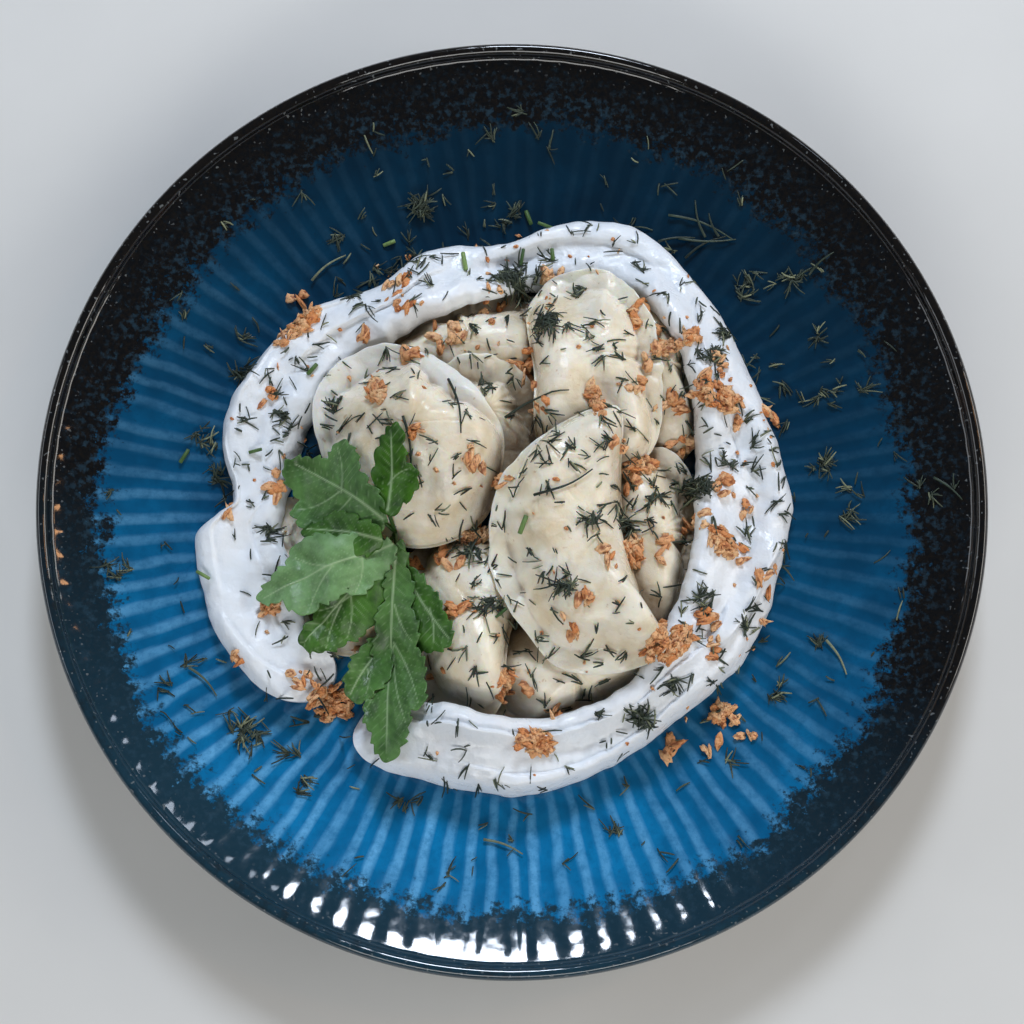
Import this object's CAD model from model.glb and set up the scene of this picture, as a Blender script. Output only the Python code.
"""Pierogi in an open ring of sour cream on a ribbed, reactive-glazed stoneware plate.

Every surface is worked out with numpy from a few sizes, laid in the same order as the solid
model: lower pierogi, sour cream, upper pierogi, leaf, onion, crumbs and herbs.
"""
import math

import bpy
import numpy as np
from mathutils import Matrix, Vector


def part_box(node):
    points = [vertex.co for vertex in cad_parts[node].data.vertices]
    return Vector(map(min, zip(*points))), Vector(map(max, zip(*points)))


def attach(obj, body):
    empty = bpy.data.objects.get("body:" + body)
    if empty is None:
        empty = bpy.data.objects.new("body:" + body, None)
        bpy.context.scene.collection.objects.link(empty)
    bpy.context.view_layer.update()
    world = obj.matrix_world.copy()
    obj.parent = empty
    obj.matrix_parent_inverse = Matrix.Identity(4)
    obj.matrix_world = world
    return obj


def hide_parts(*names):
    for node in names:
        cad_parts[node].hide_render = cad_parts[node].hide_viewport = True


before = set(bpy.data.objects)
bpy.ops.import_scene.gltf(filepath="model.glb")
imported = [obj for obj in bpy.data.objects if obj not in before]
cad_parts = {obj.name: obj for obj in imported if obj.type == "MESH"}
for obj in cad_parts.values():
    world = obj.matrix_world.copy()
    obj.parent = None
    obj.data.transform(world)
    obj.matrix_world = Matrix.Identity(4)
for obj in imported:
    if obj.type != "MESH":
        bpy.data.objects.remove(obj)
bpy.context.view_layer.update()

bl_info = {
    "name": "Pierogi Plate",
    "version": (1, 0, 0),
    "blender": (4, 5, 0),
    "location": "View3D > Sidebar > Pierogi",
    "description": "Lays pierogi, sour cream, fried onion and herbs on a ribbed plate",
    "category": "Object",
}

MM = 0.001
TURN = 2.0 * math.pi

# The plate's own box gives its size; the rest of its section follows the solid.
PLATE_LOW, PLATE_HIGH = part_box("plate")
PLATE_RADIUS = PLATE_HIGH.x
LIP_HEIGHT = PLATE_HIGH.z
WELL_RADIUS = 70 * MM
WELL_TOP = 8.5 * MM
WALL_RISE = 17.8 * MM
WALL_POWER = 2.1
LIP_WIDTH = 4.0 * MM
PLATE_THICKNESS = 5.0 * MM
FOOT_OUTER = 82 * MM
FOOT_INNER = 76 * MM
RIB_COUNT = 104

# The height map of what has been laid: half its side, its step, the gap that a piece rests at,
# and how steeply, as a slope, each food falls away from what holds it up.
MAP_HALF = 136 * MM
MAP_STEP = 0.6 * MM
REST_GAP = 0.35 * MM
DOUGH_SAG = 0.55
CREAM_SAG = 0.70
LEAF_SAG = 0.80
ONION_SAG = 0.90

RIM_THICKNESS = 3.0 * MM
# How wide each pinched edge lies flat, and how pale it has dried.
RIMS = {
    "pierogi_left": (5.5 * MM, 0.85),
    "pierogi_front": (4.5 * MM, 0.22),
    "pierogi_back_right": (5.0 * MM, 0.25),
    "pierogi_right": (5.5 * MM, 0.35),
}
PLAIN_RIM = (5.5 * MM, 0.25)

# Outlines in millimetres, seen from above, in the order of laying; heading is the way, in
# degrees, that the pinched edge faces, and belly is how far the filling swells.
LOWER_PIEROGI = {
    "pierogi_back_low": dict(
        outline=[(-42, 40), (-34, 52), (-22, 59), (-8, 62), (8, 60), (14, 47), (8, 34), (-6, 28), (-28, 30)],
        heading=100, belly=12.5 * MM),
    "pierogi_back_right_low": dict(
        outline=[(38, 67), (46, 62), (54, 50), (56, 33), (55, 18), (49, 10), (40, 12), (35, 30), (33, 54)],
        heading=20, belly=11.0 * MM),
    "pierogi_far_left": dict(
        outline=[(-70, -9), (-65, 0), (-50, -3), (-38, -11), (-32, -24), (-34, -42), (-50, -46), (-61, -34)],
        heading=170, belly=10.0 * MM),
    "pierogi_right": dict(
        outline=[(26, 4), (36, 13), (48, 11), (55, -3), (55, -18), (51, -34), (41, -44), (29, -33),
                 (25, -14)],
        heading=10, belly=15.0 * MM),
    "pierogi_front_low": dict(
        outline=[(-6, -42), (12, -29), (30, -32), (46, -43), (44, -54), (30, -63), (13, -69), (-2, -69),
                 (-10, -56)],
        heading=275, belly=11.0 * MM),
    "pierogi_front_left": dict(
        outline=[(-30, -19), (-16, -9), (-3, -11), (2, -26), (-1, -45), (-3, -60), (-12, -67), (-25, -60),
                 (-31, -42)],
        heading=200, belly=15.0 * MM),
}
UPPER_PIEROGI = {
    "pierogi_back_middle": dict(
        outline=[(-25, 32), (-17, 38), (-8, 39), (3, 35), (10, 24), (10, 12), (0, -2), (-14, 0), (-24, 14)],
        heading=60, belly=12.0 * MM),
    "pierogi_back_right": dict(
        outline=[(7, 14), (6, 35), (4, 52), (9, 62), (18, 66), (29, 65), (38, 55), (43, 38), (42, 16),
                 (34, 6), (17, 5)],
        heading=40, belly=16.0 * MM),
    "pierogi_left": dict(
        outline=[(-58, 23), (-54, 34), (-43, 41), (-29, 42), (-18, 35), (-8, 25), (-3, 16), (-3, 2),
                 (-9, -10), (-24, -16), (-39, -12), (-51, 0)],
        heading=98, belly=18.0 * MM),
    "pierogi_front": dict(
        outline=[(16, 18), (26, 22), (31, 20), (31, 5), (32, -14), (36, -31), (42, -45), (30, -52), (12, -50),
                 (0, -36), (-6, -22), (-6, -6), (1, 7)],
        heading=215, belly=17.5 * MM),
}

# Sour cream: the two edges of an open ring, clockwise from its open end, in millimetres.
CREAM_START = math.radians(227.0)
CREAM_END = math.radians(-124.0)
CREAM_HEIGHT = 11.5 * MM
CREAM_MEAN_RADIUS = 74 * MM
CREAM_MEAN_WIDTH = 24 * MM
CREAM_OUTER = [(-58, -66), (-75, -53), (-87, -35), (-92, -14), (-86, -6), (-81, -1), (-85, 15), (-81, 32),
               (-63, 54), (-41, 63), (-24, 75), (-2, 77), (20, 84), (41, 79), (60, 57), (71, 35), (81, 3),
               (80, -14), (69, -44), (48, -64), (22, -81), (-1, -86), (-29, -81), (-46, -76)]
CREAM_INNER = [(-44, -50), (-56, -38), (-62, -24), (-67, -8), (-62, 12), (-57, 25), (-48, 36), (-34, 46),
               (-10, 56), (10, 62), (28, 61), (42, 53), (50, 38), (53, 13), (52, -10), (48, -28),
               (38, -48), (22, -61), (2, -65), (-14, -61), (-28, -58)]

# Folds of the cream: a line from one direction and share of the width to another, in degrees and
# shares from the inner edge; the sheet behind the line laps over by the height.
CREAM_FOLDS = [
    (-9, 1.00, -38, 0.60, 3.2 * MM), (106, 0.55, 150, 0.48, 2.0 * MM), (168, 0.86, 200, 0.78, 1.3 * MM),
    (203, 0.88, 226, 0.50, 1.5 * MM), (-120, 0.30, -66, 0.24, 2.2 * MM), (-104, 0.66, -46, 0.80, 1.2 * MM),
    (-62, 0.40, -27, 0.52, 1.8 * MM), (58, 0.62, 97, 0.66, 1.2 * MM), (4, 0.45, 44, 0.38, 1.4 * MM),
    (128, 0.82, 162, 0.86, 1.0 * MM), (182, 0.40, 214, 0.30, 1.2 * MM),
]

# The parsley: the side of its mesh's squares, its blade, its teeth, its stalks and its leaflets,
# each with where it starts, its tone, how high it lies over the others, its corners, and which
# corners are lobe tips.
LEAF_STEP = 0.38 * MM
LEAF_THICKNESS = 0.35 * MM
TOOTH_PITCH = 3.6 * MM
TOOTH_DEPTH = 1.3 * MM
STALK_ROOT = (-33.0, -12.5)
STALK_END = (-32.5, -17)
STALK_HALF_WIDTH = 0.55 * MM
LEAFLETS = [
    dict(start=(-36.5, -15.5), tone=0.10, layer=1.0 * MM,
         corners=[(-38, -18), (-45, -19), (-52, -18.5), (-56, -17), (-58.5, -14.2), (-59.3, -11),
                  (-53.5, -9.8), (-52.5, -7.8), (-46.8, -7.6), (-43, -10), (-36.5, -13.6)],
         tips=[5, 3]),
    dict(start=(-36, -10), tone=0.35, layer=0.3 * MM,
         corners=[(-37, -13.5), (-45, -12), (-53, -10.5), (-59, -11), (-61.5, -7.7), (-63.3, -5), (-59.5, -2),
                  (-63.2, 0.8), (-65.6, 7), (-63.8, 9.4), (-58, 9.2), (-52, 7.5), (-49.7, 12.7), (-46.3, 12),
                  (-43, 3.5), (-40.4, -0.5), (-35.5, -8)],
         tips=[9, 5, 12, 3]),
    dict(start=(-34.5, -8), tone=0.0, layer=0.9 * MM,
         corners=[(-36.5, -6.3), (-38.1, -1.1), (-37.8, 4.1), (-36.5, 9), (-34.9, 11.8), (-33.3, 13.6),
                  (-30.9, 13.8), (-30.1, 8.7), (-29.9, 2.4), (-27.2, 2.9), (-26.1, 0.2), (-26.8, -3.4),
                  (-30.1, -6.3), (-34, -9.5)],
         tips=[5, 9]),
    dict(start=(-34, -19), tone=0.10, layer=0.4 * MM,
         corners=[(-38.8, -24), (-49, -29.5), (-55.8, -35), (-54.3, -37.4), (-58.3, -40), (-59, -44.5),
                  (-52.3, -46), (-46.5, -43), (-41, -40), (-37, -33), (-35, -24)],
         tips=[5, 2, 6, 7]),
    dict(start=(-33.5, -16.5), tone=0.85, layer=1.7 * MM,
         corners=[(-38.8, -15.5), (-49, -14.5), (-59.4, -15), (-62.8, -19), (-63, -22), (-68, -26),
                  (-72, -31.5), (-64.6, -31.5), (-57.5, -36), (-54.3, -32.7), (-48, -31), (-46, -28),
                  (-44, -30.6), (-38.8, -26.5), (-34.5, -22), (-32.8, -16.8)],
         tips=[6, 3, 8, 12]),
    dict(start=(-32.3, -20), tone=0.10, layer=0.9 * MM,
         corners=[(-33, -30), (-31.5, -38), (-27.5, -44.5), (-22, -46.3), (-16.8, -44.2), (-19.5, -35.6),
                  (-24, -27.8), (-29, -22.5), (-31.5, -18)],
         tips=[4, 3]),
    dict(start=(-33.5, -40), tone=0.25, layer=1.0 * MM,
         corners=[(-37.5, -42), (-43, -46), (-45.3, -51), (-46, -58.8), (-41.4, -59.8), (-38.8, -57),
                  (-34, -52)],
         tips=[3, 4]),
    dict(start=(-32.5, -13.5), tone=0.30, layer=1.6 * MM,
         corners=[(-33.5, -22.5), (-35.6, -31.7), (-38, -41), (-38.5, -50), (-39.3, -57), (-40.9, -63),
                  (-38.8, -68.5), (-34.5, -77), (-31, -73), (-28.8, -67.7), (-29, -61), (-25.3, -62),
                  (-24.6, -54), (-27, -45), (-28.5, -34), (-30, -22.5), (-31.4, -15.3)],
         tips=[7, 5, 9, 11, 13]),
]

# Clumps of fried onion in millimetres and degrees: centre, length, width and turn.
ONION_CLUMPS = {
    "onion_front_right": (43, -44, 17, 12, 40), "onion_back_right": (58, 26, 15, 10, 160),
    "onion_front_left": (-51, -60, 14, 11, 20), "onion_front_left_small": (-38, -61, 10, 7, 80),
    "onion_front": (6, -71, 13, 7, 170), "onion_on_plate": (61, -63, 11, 6, 0),
    "onion_middle": (-11, -13, 10, 6, 20), "onion_back_long": (24, 23, 14, 4.5, 105),
    "onion_far_right": (47, 42, 14, 5, 15), "onion_far_left": (-62, 49, 20, 5, 40),
    "onion_right_long": (37, 7, 12, 4.5, 25), "onion_front_long": (-2, -55, 12, 4.5, 80),
    "onion_top": (34, -18, 10, 7, 110), "onion_right": (59, -15, 10, 8, 140),
    "onion_left": (-69, -32, 9, 7, 60), "onion_left_top": (-38, 26, 11, 6, 100),
}
# Small heaps of crumbs: centre in millimetres and how many crumbs; the rest are strewn.
CRUMB_HEAPS = [
    (-43, 44, 3), (-10, 5, 5), (-1, 0, 4), (35, 29, 4), (39, 48, 6), (36, 53, 5), (12, 66, 4),
    (-33, 61, 6), (-31, 52, 4), (-26, 13, 5), (-18, -20, 6), (-15, -33, 7), (-27, -18, 5), (2, -56, 5),
    (-23, -52, 5), (-59, -54, 6), (-67, 2, 6), (-70, 28, 4), (-77, -47, 4), (55, -37, 5), (57, -45, 6),
    (53, -8, 7), (50, 14, 6), (35, 0, 4), (35, -19, 6), (42, -18, 4), (2, 38, 7), (5, 34, 6), (-6, 55, 9),
    (-19, 45, 9), (50, 44, 6), (57, 34, 9), (63, 22, 9), (60, 1, 5), (65, -18, 6), (67, -5, 4),
    (-41, -47, 5), (-37, -59, 6), (13, -63, 4), (25, -22, 3), (18, -37, 9), (47, 25, 6), (40, 39, 4),
    (-64, 61, 3), (-81, -6, 3), (75, 24, 4), (72, -27, 4), (71, -37, 3), (45, -73, 3), (57, -73, 4),
    (67, -70, 3), (-55, -28, 3), (-46, -45, 5), (8, 22, 4), (30, 10, 4), (-30, 38, 3),
]
STREWN_CRUMBS = 150
STREWN_CRUMBS_RADIUS = 84 * MM
# Strewn dill: how many fans lie between two radii, and how many needles a fan has, by share.
DILL_FANS = [(640, 0 * MM, 85 * MM), (120, 85 * MM, 118 * MM)]
FAN_NEEDLES = {1: 0.42, 2: 0.27, 3: 0.16, 4: 0.10, 5: 0.05}
# Where cut dill lies thick: centre and spread in millimetres, and how many needles.
DILL_CLUMPS = [
    (9, 47, 5, 120), (1, 62, 6, 120), (53, 1, 6, 110), (54, -33, 6, 40), (15, -30, 4.5, 60),
    (-6, -33, 5.5, 60), (22, -12, 4, 30), (32, -10, 6, 60), (-12, -18, 5, 50), (36, -65, 6, 60),
    (-52, 25, 4, 24), (-59, -19, 4, 40), (57, 38, 5, 40), (42, -2, 5, 34), (-2, 64, 5, 50),
    (-27, 89, 3.6, 90), (-76, -68, 8, 80), (90, 10, 5, 34), (99, -4, 6, 26), (88, -43, 5, 16),
    (74, -58, 5, 24), (94, 31, 4.5, 26), (84, 65, 5, 30), (-112, -24, 4, 22), (-81, 37, 5, 44),
    (-91, 16, 4.5, 34), (-2, 86, 4.5, 26), (-6, 108, 4, 8), (11, 107, 4, 8), (-53, 80, 7, 12),
    (124, -1, 4, 12), (91, 49, 4, 18), (68, 67, 5, 12), (103, 31, 4, 12), (-58, -86, 4, 18),
    (-30, -89, 5, 18), (-18, -107, 4, 7), (26, -96, 6, 14), (61, -77, 5, 12), (-100, -56, 4, 8),
    (-117, -21, 4, 8), (78, 36, 5, 14), (-79, 48, 4, 12), (-63, -74, 5, 14), (-88, -47, 4, 8),
    (-66, 22, 5, 30), (-86, 6, 5, 30), (70, 60, 5, 12), (-8, 30, 4, 22), (6, 12, 4, 18), (-30, 8, 5, 16),
    (28, 40, 5, 16), (66, 8, 5, 26), (46, -56, 5, 22), (-70, -12, 4, 22), (-47, 58, 5, 26),
    (-30, 70, 5, 20), (62, 48, 5, 26), (20, 58, 4, 14), (66, -40, 5, 18),
]
# Chive pieces in millimetres and degrees: centre and turn.
CHIVES = [(-37, 78, 20), (-58, 36, 50), (-14, 69, 100), (3, 71, 80), (12, 72, 95), (5, 86, 110),
          (10, 83, 160), (-3, -36, 40), (3, -13, 70), (-74, 12, 15), (-88, -24, 150), (-34, -75, 20),
          (-96, 12, 60)]
# Dill stems in millimetres: start, end and bend.
DILL_STEMS = [
    ((47, 86), (66, 78), 1.5), ((50, 79), (67, 78), -0.8), ((58, 79), (55, 90), 0.8),
    ((62, 79), (59, 86), 0.5), ((52, 73), (64, 79), 1.2), ((44, 78), (55, 79), 0.6),
    ((-2, 20), (16, 26), 1.4), ((-18, 30), (-14, 12), 1.2), ((6, -5), (22, 2), -1.4),
    ((90, -42), (95, -52), 0.8), ((121, 4), (128, -3), 0.6), ((-30, 17), (-28, 2), 0.9),
    ((88, 66), (95, 72), 0.7), ((-60, 66), (-50, 74), 1.0), ((-8, -98), (3, -102), 0.8),
    ((-92, -50), (-84, -58), 0.9),
]


# ---------------------------------------------------------------- numbers and noise

def smoothstep(low, high, value):
    """0 at low and 1 at high, by 3 t^2 - 2 t^3; low may be the larger."""
    t = np.clip((value - low) / (high - low), 0.0, 1.0)
    return t * t * (3.0 - 2.0 * t)


def lattice_value(ix, iy, iz, seed):
    """A fixed number from -1 to 1 for each corner of a whole-number lattice."""
    mixed = (ix * 374761393 + iy * 668265263 + iz * 2147483647 + seed * 974634777).astype(np.int64)
    mixed = (mixed ^ (mixed >> 13)) * 1274126177
    mixed = mixed ^ (mixed >> 16)
    return (mixed & 0xFFFFF).astype(np.float64) / 524287.5 - 1.0


def value_noise(x, y, z, seed):
    """Smooth noise: lattice values blended with a cubic fade in x, y and z."""
    fx, fy, fz = np.floor(x), np.floor(y), np.floor(z)
    ix, iy, iz = fx.astype(np.int64), fy.astype(np.int64), fz.astype(np.int64)
    tx, ty, tz = x - fx, y - fy, z - fz
    tx, ty, tz = (t * t * (3.0 - 2.0 * t) for t in (tx, ty, tz))
    total = 0.0
    for cx in (0, 1):
        for cy in (0, 1):
            for cz in (0, 1):
                weight = (tx if cx else 1 - tx) * (ty if cy else 1 - ty) * (tz if cz else 1 - tz)
                total = total + weight * lattice_value(ix + cx, iy + cy, iz + cz, seed)
    return total


def cloud(x, y, z, size, seed, octaves=3):
    """Fractal noise whose largest lumps are size across; each octave is half as large and strong."""
    total, strength, whole = 0.0, 1.0, 0.0
    for octave in range(octaves):
        scale = 2.0 ** octave / size
        total = total + strength * value_noise(x * scale, y * scale, z * scale, seed + 17 * octave)
        whole += strength
        strength *= 0.5
    return total / whole


# ---------------------------------------------------------------- meshes

def ring_faces(rows, columns):
    """Quads between neighbouring rings of points; each ring is closed."""
    row, column = np.meshgrid(np.arange(rows - 1), np.arange(columns), indexing="ij")
    after = (column + 1) % columns
    first = row * columns
    return np.stack([first + column, first + columns + column, first + columns + after, first + after],
                    axis=-1).reshape(-1, 4)


def put_mesh(name, points, faces, material, attributes=None):
    """Make an object from arrays: points (n, 3) and a list of face arrays."""
    mesh = bpy.data.meshes.new(name)
    loops = np.concatenate([np.asarray(f).ravel() for f in faces])
    sizes = np.concatenate([np.full(len(f), np.asarray(f).shape[1]) for f in faces])
    starts = np.concatenate([[0], np.cumsum(sizes)[:-1]])
    mesh.vertices.add(len(points))
    mesh.vertices.foreach_set("co", np.asarray(points, dtype=np.float32).ravel())
    mesh.loops.add(len(loops))
    mesh.loops.foreach_set("vertex_index", loops.astype(np.int32))
    mesh.polygons.add(len(sizes))
    mesh.polygons.foreach_set("loop_start", starts.astype(np.int32))
    mesh.update(calc_edges=True)
    mesh.validate()
    mesh.shade_smooth()
    for label, values in (attributes or {}).items():
        layer = mesh.attributes.new(label, "FLOAT", "POINT")
        layer.data.foreach_set("value", np.asarray(values, dtype=np.float32).ravel())
    mesh.materials.append(material)
    thing = bpy.data.objects.new(name, mesh)
    bpy.context.scene.collection.objects.link(thing)
    return thing


def put_rings(name, rings, material, attributes=None):
    """A closed skin over rings of points whose first and last ring are single points (poles).

    rings has shape (rows, columns, 3); the first and last row repeat one point.
    """
    rows, columns = rings.shape[:2]
    body = rings[1:-1].reshape(-1, 3)
    points = np.concatenate([body, rings[0, :1], rings[-1, :1]])
    top, bottom = len(body), len(body) + 1
    column = np.arange(columns)
    after = (column + 1) % columns
    last = (rows - 3) * columns
    caps = np.concatenate([np.stack([np.full(columns, top), column, after], axis=-1),
                           np.stack([last + column, np.full(columns, bottom), last + after], axis=-1)])
    packed = {}
    for label, values in (attributes or {}).items():
        packed[label] = np.concatenate([values[1:-1].ravel(), values[0, :1], values[-1, :1]])
    return put_mesh(name, points, [ring_faces(rows - 2, columns), caps], material, packed)


def register_piece(thing, slot, *nodes):
    """Ride a piece on the plate's body, in place of its solids, with its kind of material."""
    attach(thing, "root")
    if nodes:
        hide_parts(*nodes)
    return thing


def repeat_faces(faces, copies, stride):
    """The same faces for each copy of a shape; stride is the shape's number of points."""
    offset = (np.arange(copies) * stride)[:, None, None]
    return (faces[None] + offset).reshape(-1, faces.shape[1])


def skin_faces(rows, columns):
    """Faces of a closed skin: rows rings of columns points, then the first and the last pole."""
    column = np.arange(columns)
    after = (column + 1) % columns
    last = (rows - 1) * columns
    first_pole = np.full(columns, rows * columns)
    caps = np.concatenate([np.stack([first_pole, column, after], axis=-1),
                           np.stack([last + column, first_pole + 1, last + after], axis=-1)])
    return ring_faces(rows, columns), caps


def put_lumps(name, centres, sizes, yaw, pitch, seed, material, rows, columns, rough):
    """Many small crusty lumps in one mesh.

    Each is a unit sphere whose radius is 1 + rough * noise, stretched to its three half sizes,
    arched by a quarter of its height along its length, then pitched, turned and put in place.
    """
    latitude = np.linspace(0.0, math.pi, rows + 2)[1:-1]
    longitude = np.linspace(0.0, TURN, columns, endpoint=False)
    a, b = np.meshgrid(latitude, longitude, indexing="ij")
    ball = np.stack([np.sin(a) * np.cos(b), np.sin(a) * np.sin(b), np.cos(a)], axis=-1).reshape(-1, 3)
    ball = np.concatenate([ball, [[0, 0, 1], [0, 0, -1]]])
    count = len(centres)
    shift = np.arange(count)[:, None] * 7.31
    x, y, z = (ball[None, :, i] + 0 * shift for i in range(3))
    coarse = value_noise(x * 1.7 + shift, y * 1.7, z * 1.7, seed)
    fine = value_noise(x * 5.6 + shift, y * 5.6, z * 5.6, seed + 1)
    radius = 1.0 + rough * (0.75 * coarse + 0.65 * fine)
    x, y, z = x * radius, y * radius, z * radius
    z = z + 0.5 - 0.5 * x ** 2
    x, y, z = (value * sizes[:, i:i + 1] for i, value in enumerate((x, y, z)))
    cp, sp = np.cos(pitch)[:, None], np.sin(pitch)[:, None]
    x, z = x * cp + z * sp, z * cp - x * sp
    cy, sy = np.cos(yaw)[:, None], np.sin(yaw)[:, None]
    x, y = x * cy - y * sy, x * sy + y * cy
    points = np.stack([x, y, z], axis=-1) + centres[:, None, :]
    tone = np.random.default_rng(seed).uniform(0.0, 1.0, count)[:, None] + 0 * x
    faces = [repeat_faces(f, count, len(ball)) for f in skin_faces(rows, columns)]
    hollow = np.clip(0.5 - coarse - 0.6 * fine, 0.0, 1.0)
    return put_mesh(name, points.reshape(-1, 3), faces, material, {"tone": tone, "hollow": hollow})


def put_strands(name, paths, radii, sides, material, seed=0):
    """Many thin round strands in one mesh: a ring of sides points about each point of each path.

    paths is (count, rings, 3) and radii (count, rings). A ring stands square to the path's
    neighbouring points; both ends close in a pole.
    """
    count, rings = paths.shape[:2]
    ahead = np.concatenate([paths[:, 1:], paths[:, -1:]], axis=1)
    behind = np.concatenate([paths[:, :1], paths[:, :-1]], axis=1)
    way = ahead - behind
    way /= np.linalg.norm(way, axis=-1, keepdims=True)
    side = np.cross(way, np.array([0.0, 0.0, 1.0]))
    side /= np.maximum(np.linalg.norm(side, axis=-1, keepdims=True), 1e-9)
    rise = np.cross(side, way)
    turn = np.linspace(0.0, TURN, sides, endpoint=False)[None, None, :, None]
    around = paths[:, :, None] + radii[:, :, None, None] * (np.cos(turn) * side[:, :, None]
                                                            + np.sin(turn) * rise[:, :, None])
    points = np.concatenate([around.reshape(count, -1, 3), paths[:, :1], paths[:, -1:]], axis=1)
    faces = [repeat_faces(f, count, rings * sides + 2) for f in skin_faces(rings, sides)]
    tone = np.repeat(np.random.default_rng(seed).uniform(0.0, 1.0, count)[:, None], points.shape[1], axis=1)
    return put_mesh(name, points.reshape(-1, 3), faces, material, {"tone": tone})


# ---------------------------------------------------------------- materials

def srgb(code):
    """Linear colour of an sRGB hex value."""
    channels = [int(code[i:i + 2], 16) / 255.0 for i in (1, 3, 5)]
    linear = [c / 12.92 if c <= 0.04045 else ((c + 0.055) / 1.055) ** 2.4 for c in channels]
    return (*linear, 1.0)


def add_node(tree, kind, links=None, **settings):
    """Add a node: a setting is its own field or a socket's value; a link may be a value too."""
    node = tree.nodes.new(kind)
    for name, value in settings.items():
        setattr(node, name, value)
    for name, source in (links or {}).items():
        if isinstance(source, bpy.types.NodeSocket):
            tree.links.new(source, node.inputs[name])
        else:
            node.inputs[name].default_value = source
    return node


def new_material(name):
    """A material, its node tree and its shader."""
    material = bpy.data.materials.new(name)
    material.use_nodes = True
    return material, material.node_tree, material.node_tree.nodes["Principled BSDF"]


def spread(tree, factor, low, high, lowest=0.0, highest=1.0):
    """Carry a factor from low..high to lowest..highest, held at both ends."""
    return add_node(tree, "ShaderNodeMapRange", {"Value": factor, "From Min": low, "From Max": high,
                                                 "To Min": lowest, "To Max": highest}).outputs["Result"]


def blend(tree, factor, first, second):
    """Colour between two colours; each is a socket or a linear colour."""
    node = add_node(tree, "ShaderNodeMix", {0: factor, 6: first, 7: second}, data_type="RGBA")
    return node.outputs[2]


def combine(tree, operation, first, second):
    """One value from two, by a named sum."""
    return add_node(tree, "ShaderNodeMath", {0: first, 1: second}, operation=operation).outputs[0]


def object_noise(tree, size, detail=3.0, roughness=0.55, centre=(0.0, 0.0, 0.0)):
    """Noise on object coordinates whose lumps are size metres across."""
    place = add_node(tree, "ShaderNodeTexCoord")
    moved = add_node(tree, "ShaderNodeMapping", {"Vector": place.outputs["Object"], "Location": centre})
    noise = add_node(tree, "ShaderNodeTexNoise", {"Vector": moved.outputs["Vector"], "Scale": 1.0 / size,
                                                  "Detail": detail, "Roughness": roughness})
    return noise.outputs["Fac"]


def bump(tree, shader, height, distance, strength=1.0, under=None):
    """Relief distance metres deep on the shader, on top of another one."""
    links = {"Height": height, "Distance": distance, "Strength": strength}
    if under is not None:
        links["Normal"] = under
    normal = add_node(tree, "ShaderNodeBump", links).outputs["Normal"]
    tree.links.new(normal, shader.inputs["Normal"])
    return normal


def attribute(tree, name):
    """A value stored at the mesh's points."""
    return add_node(tree, "ShaderNodeAttribute", attribute_name=name).outputs["Fac"]


def let_light_in(shader, ior, weight, radius, depth):
    """How strongly a surface bends light, and how much and how far light wanders beneath it."""
    shader.inputs["IOR"].default_value = ior
    shader.inputs["Subsurface Weight"].default_value = weight
    shader.inputs["Subsurface Radius"].default_value = radius
    shader.inputs["Subsurface Scale"].default_value = depth


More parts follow.
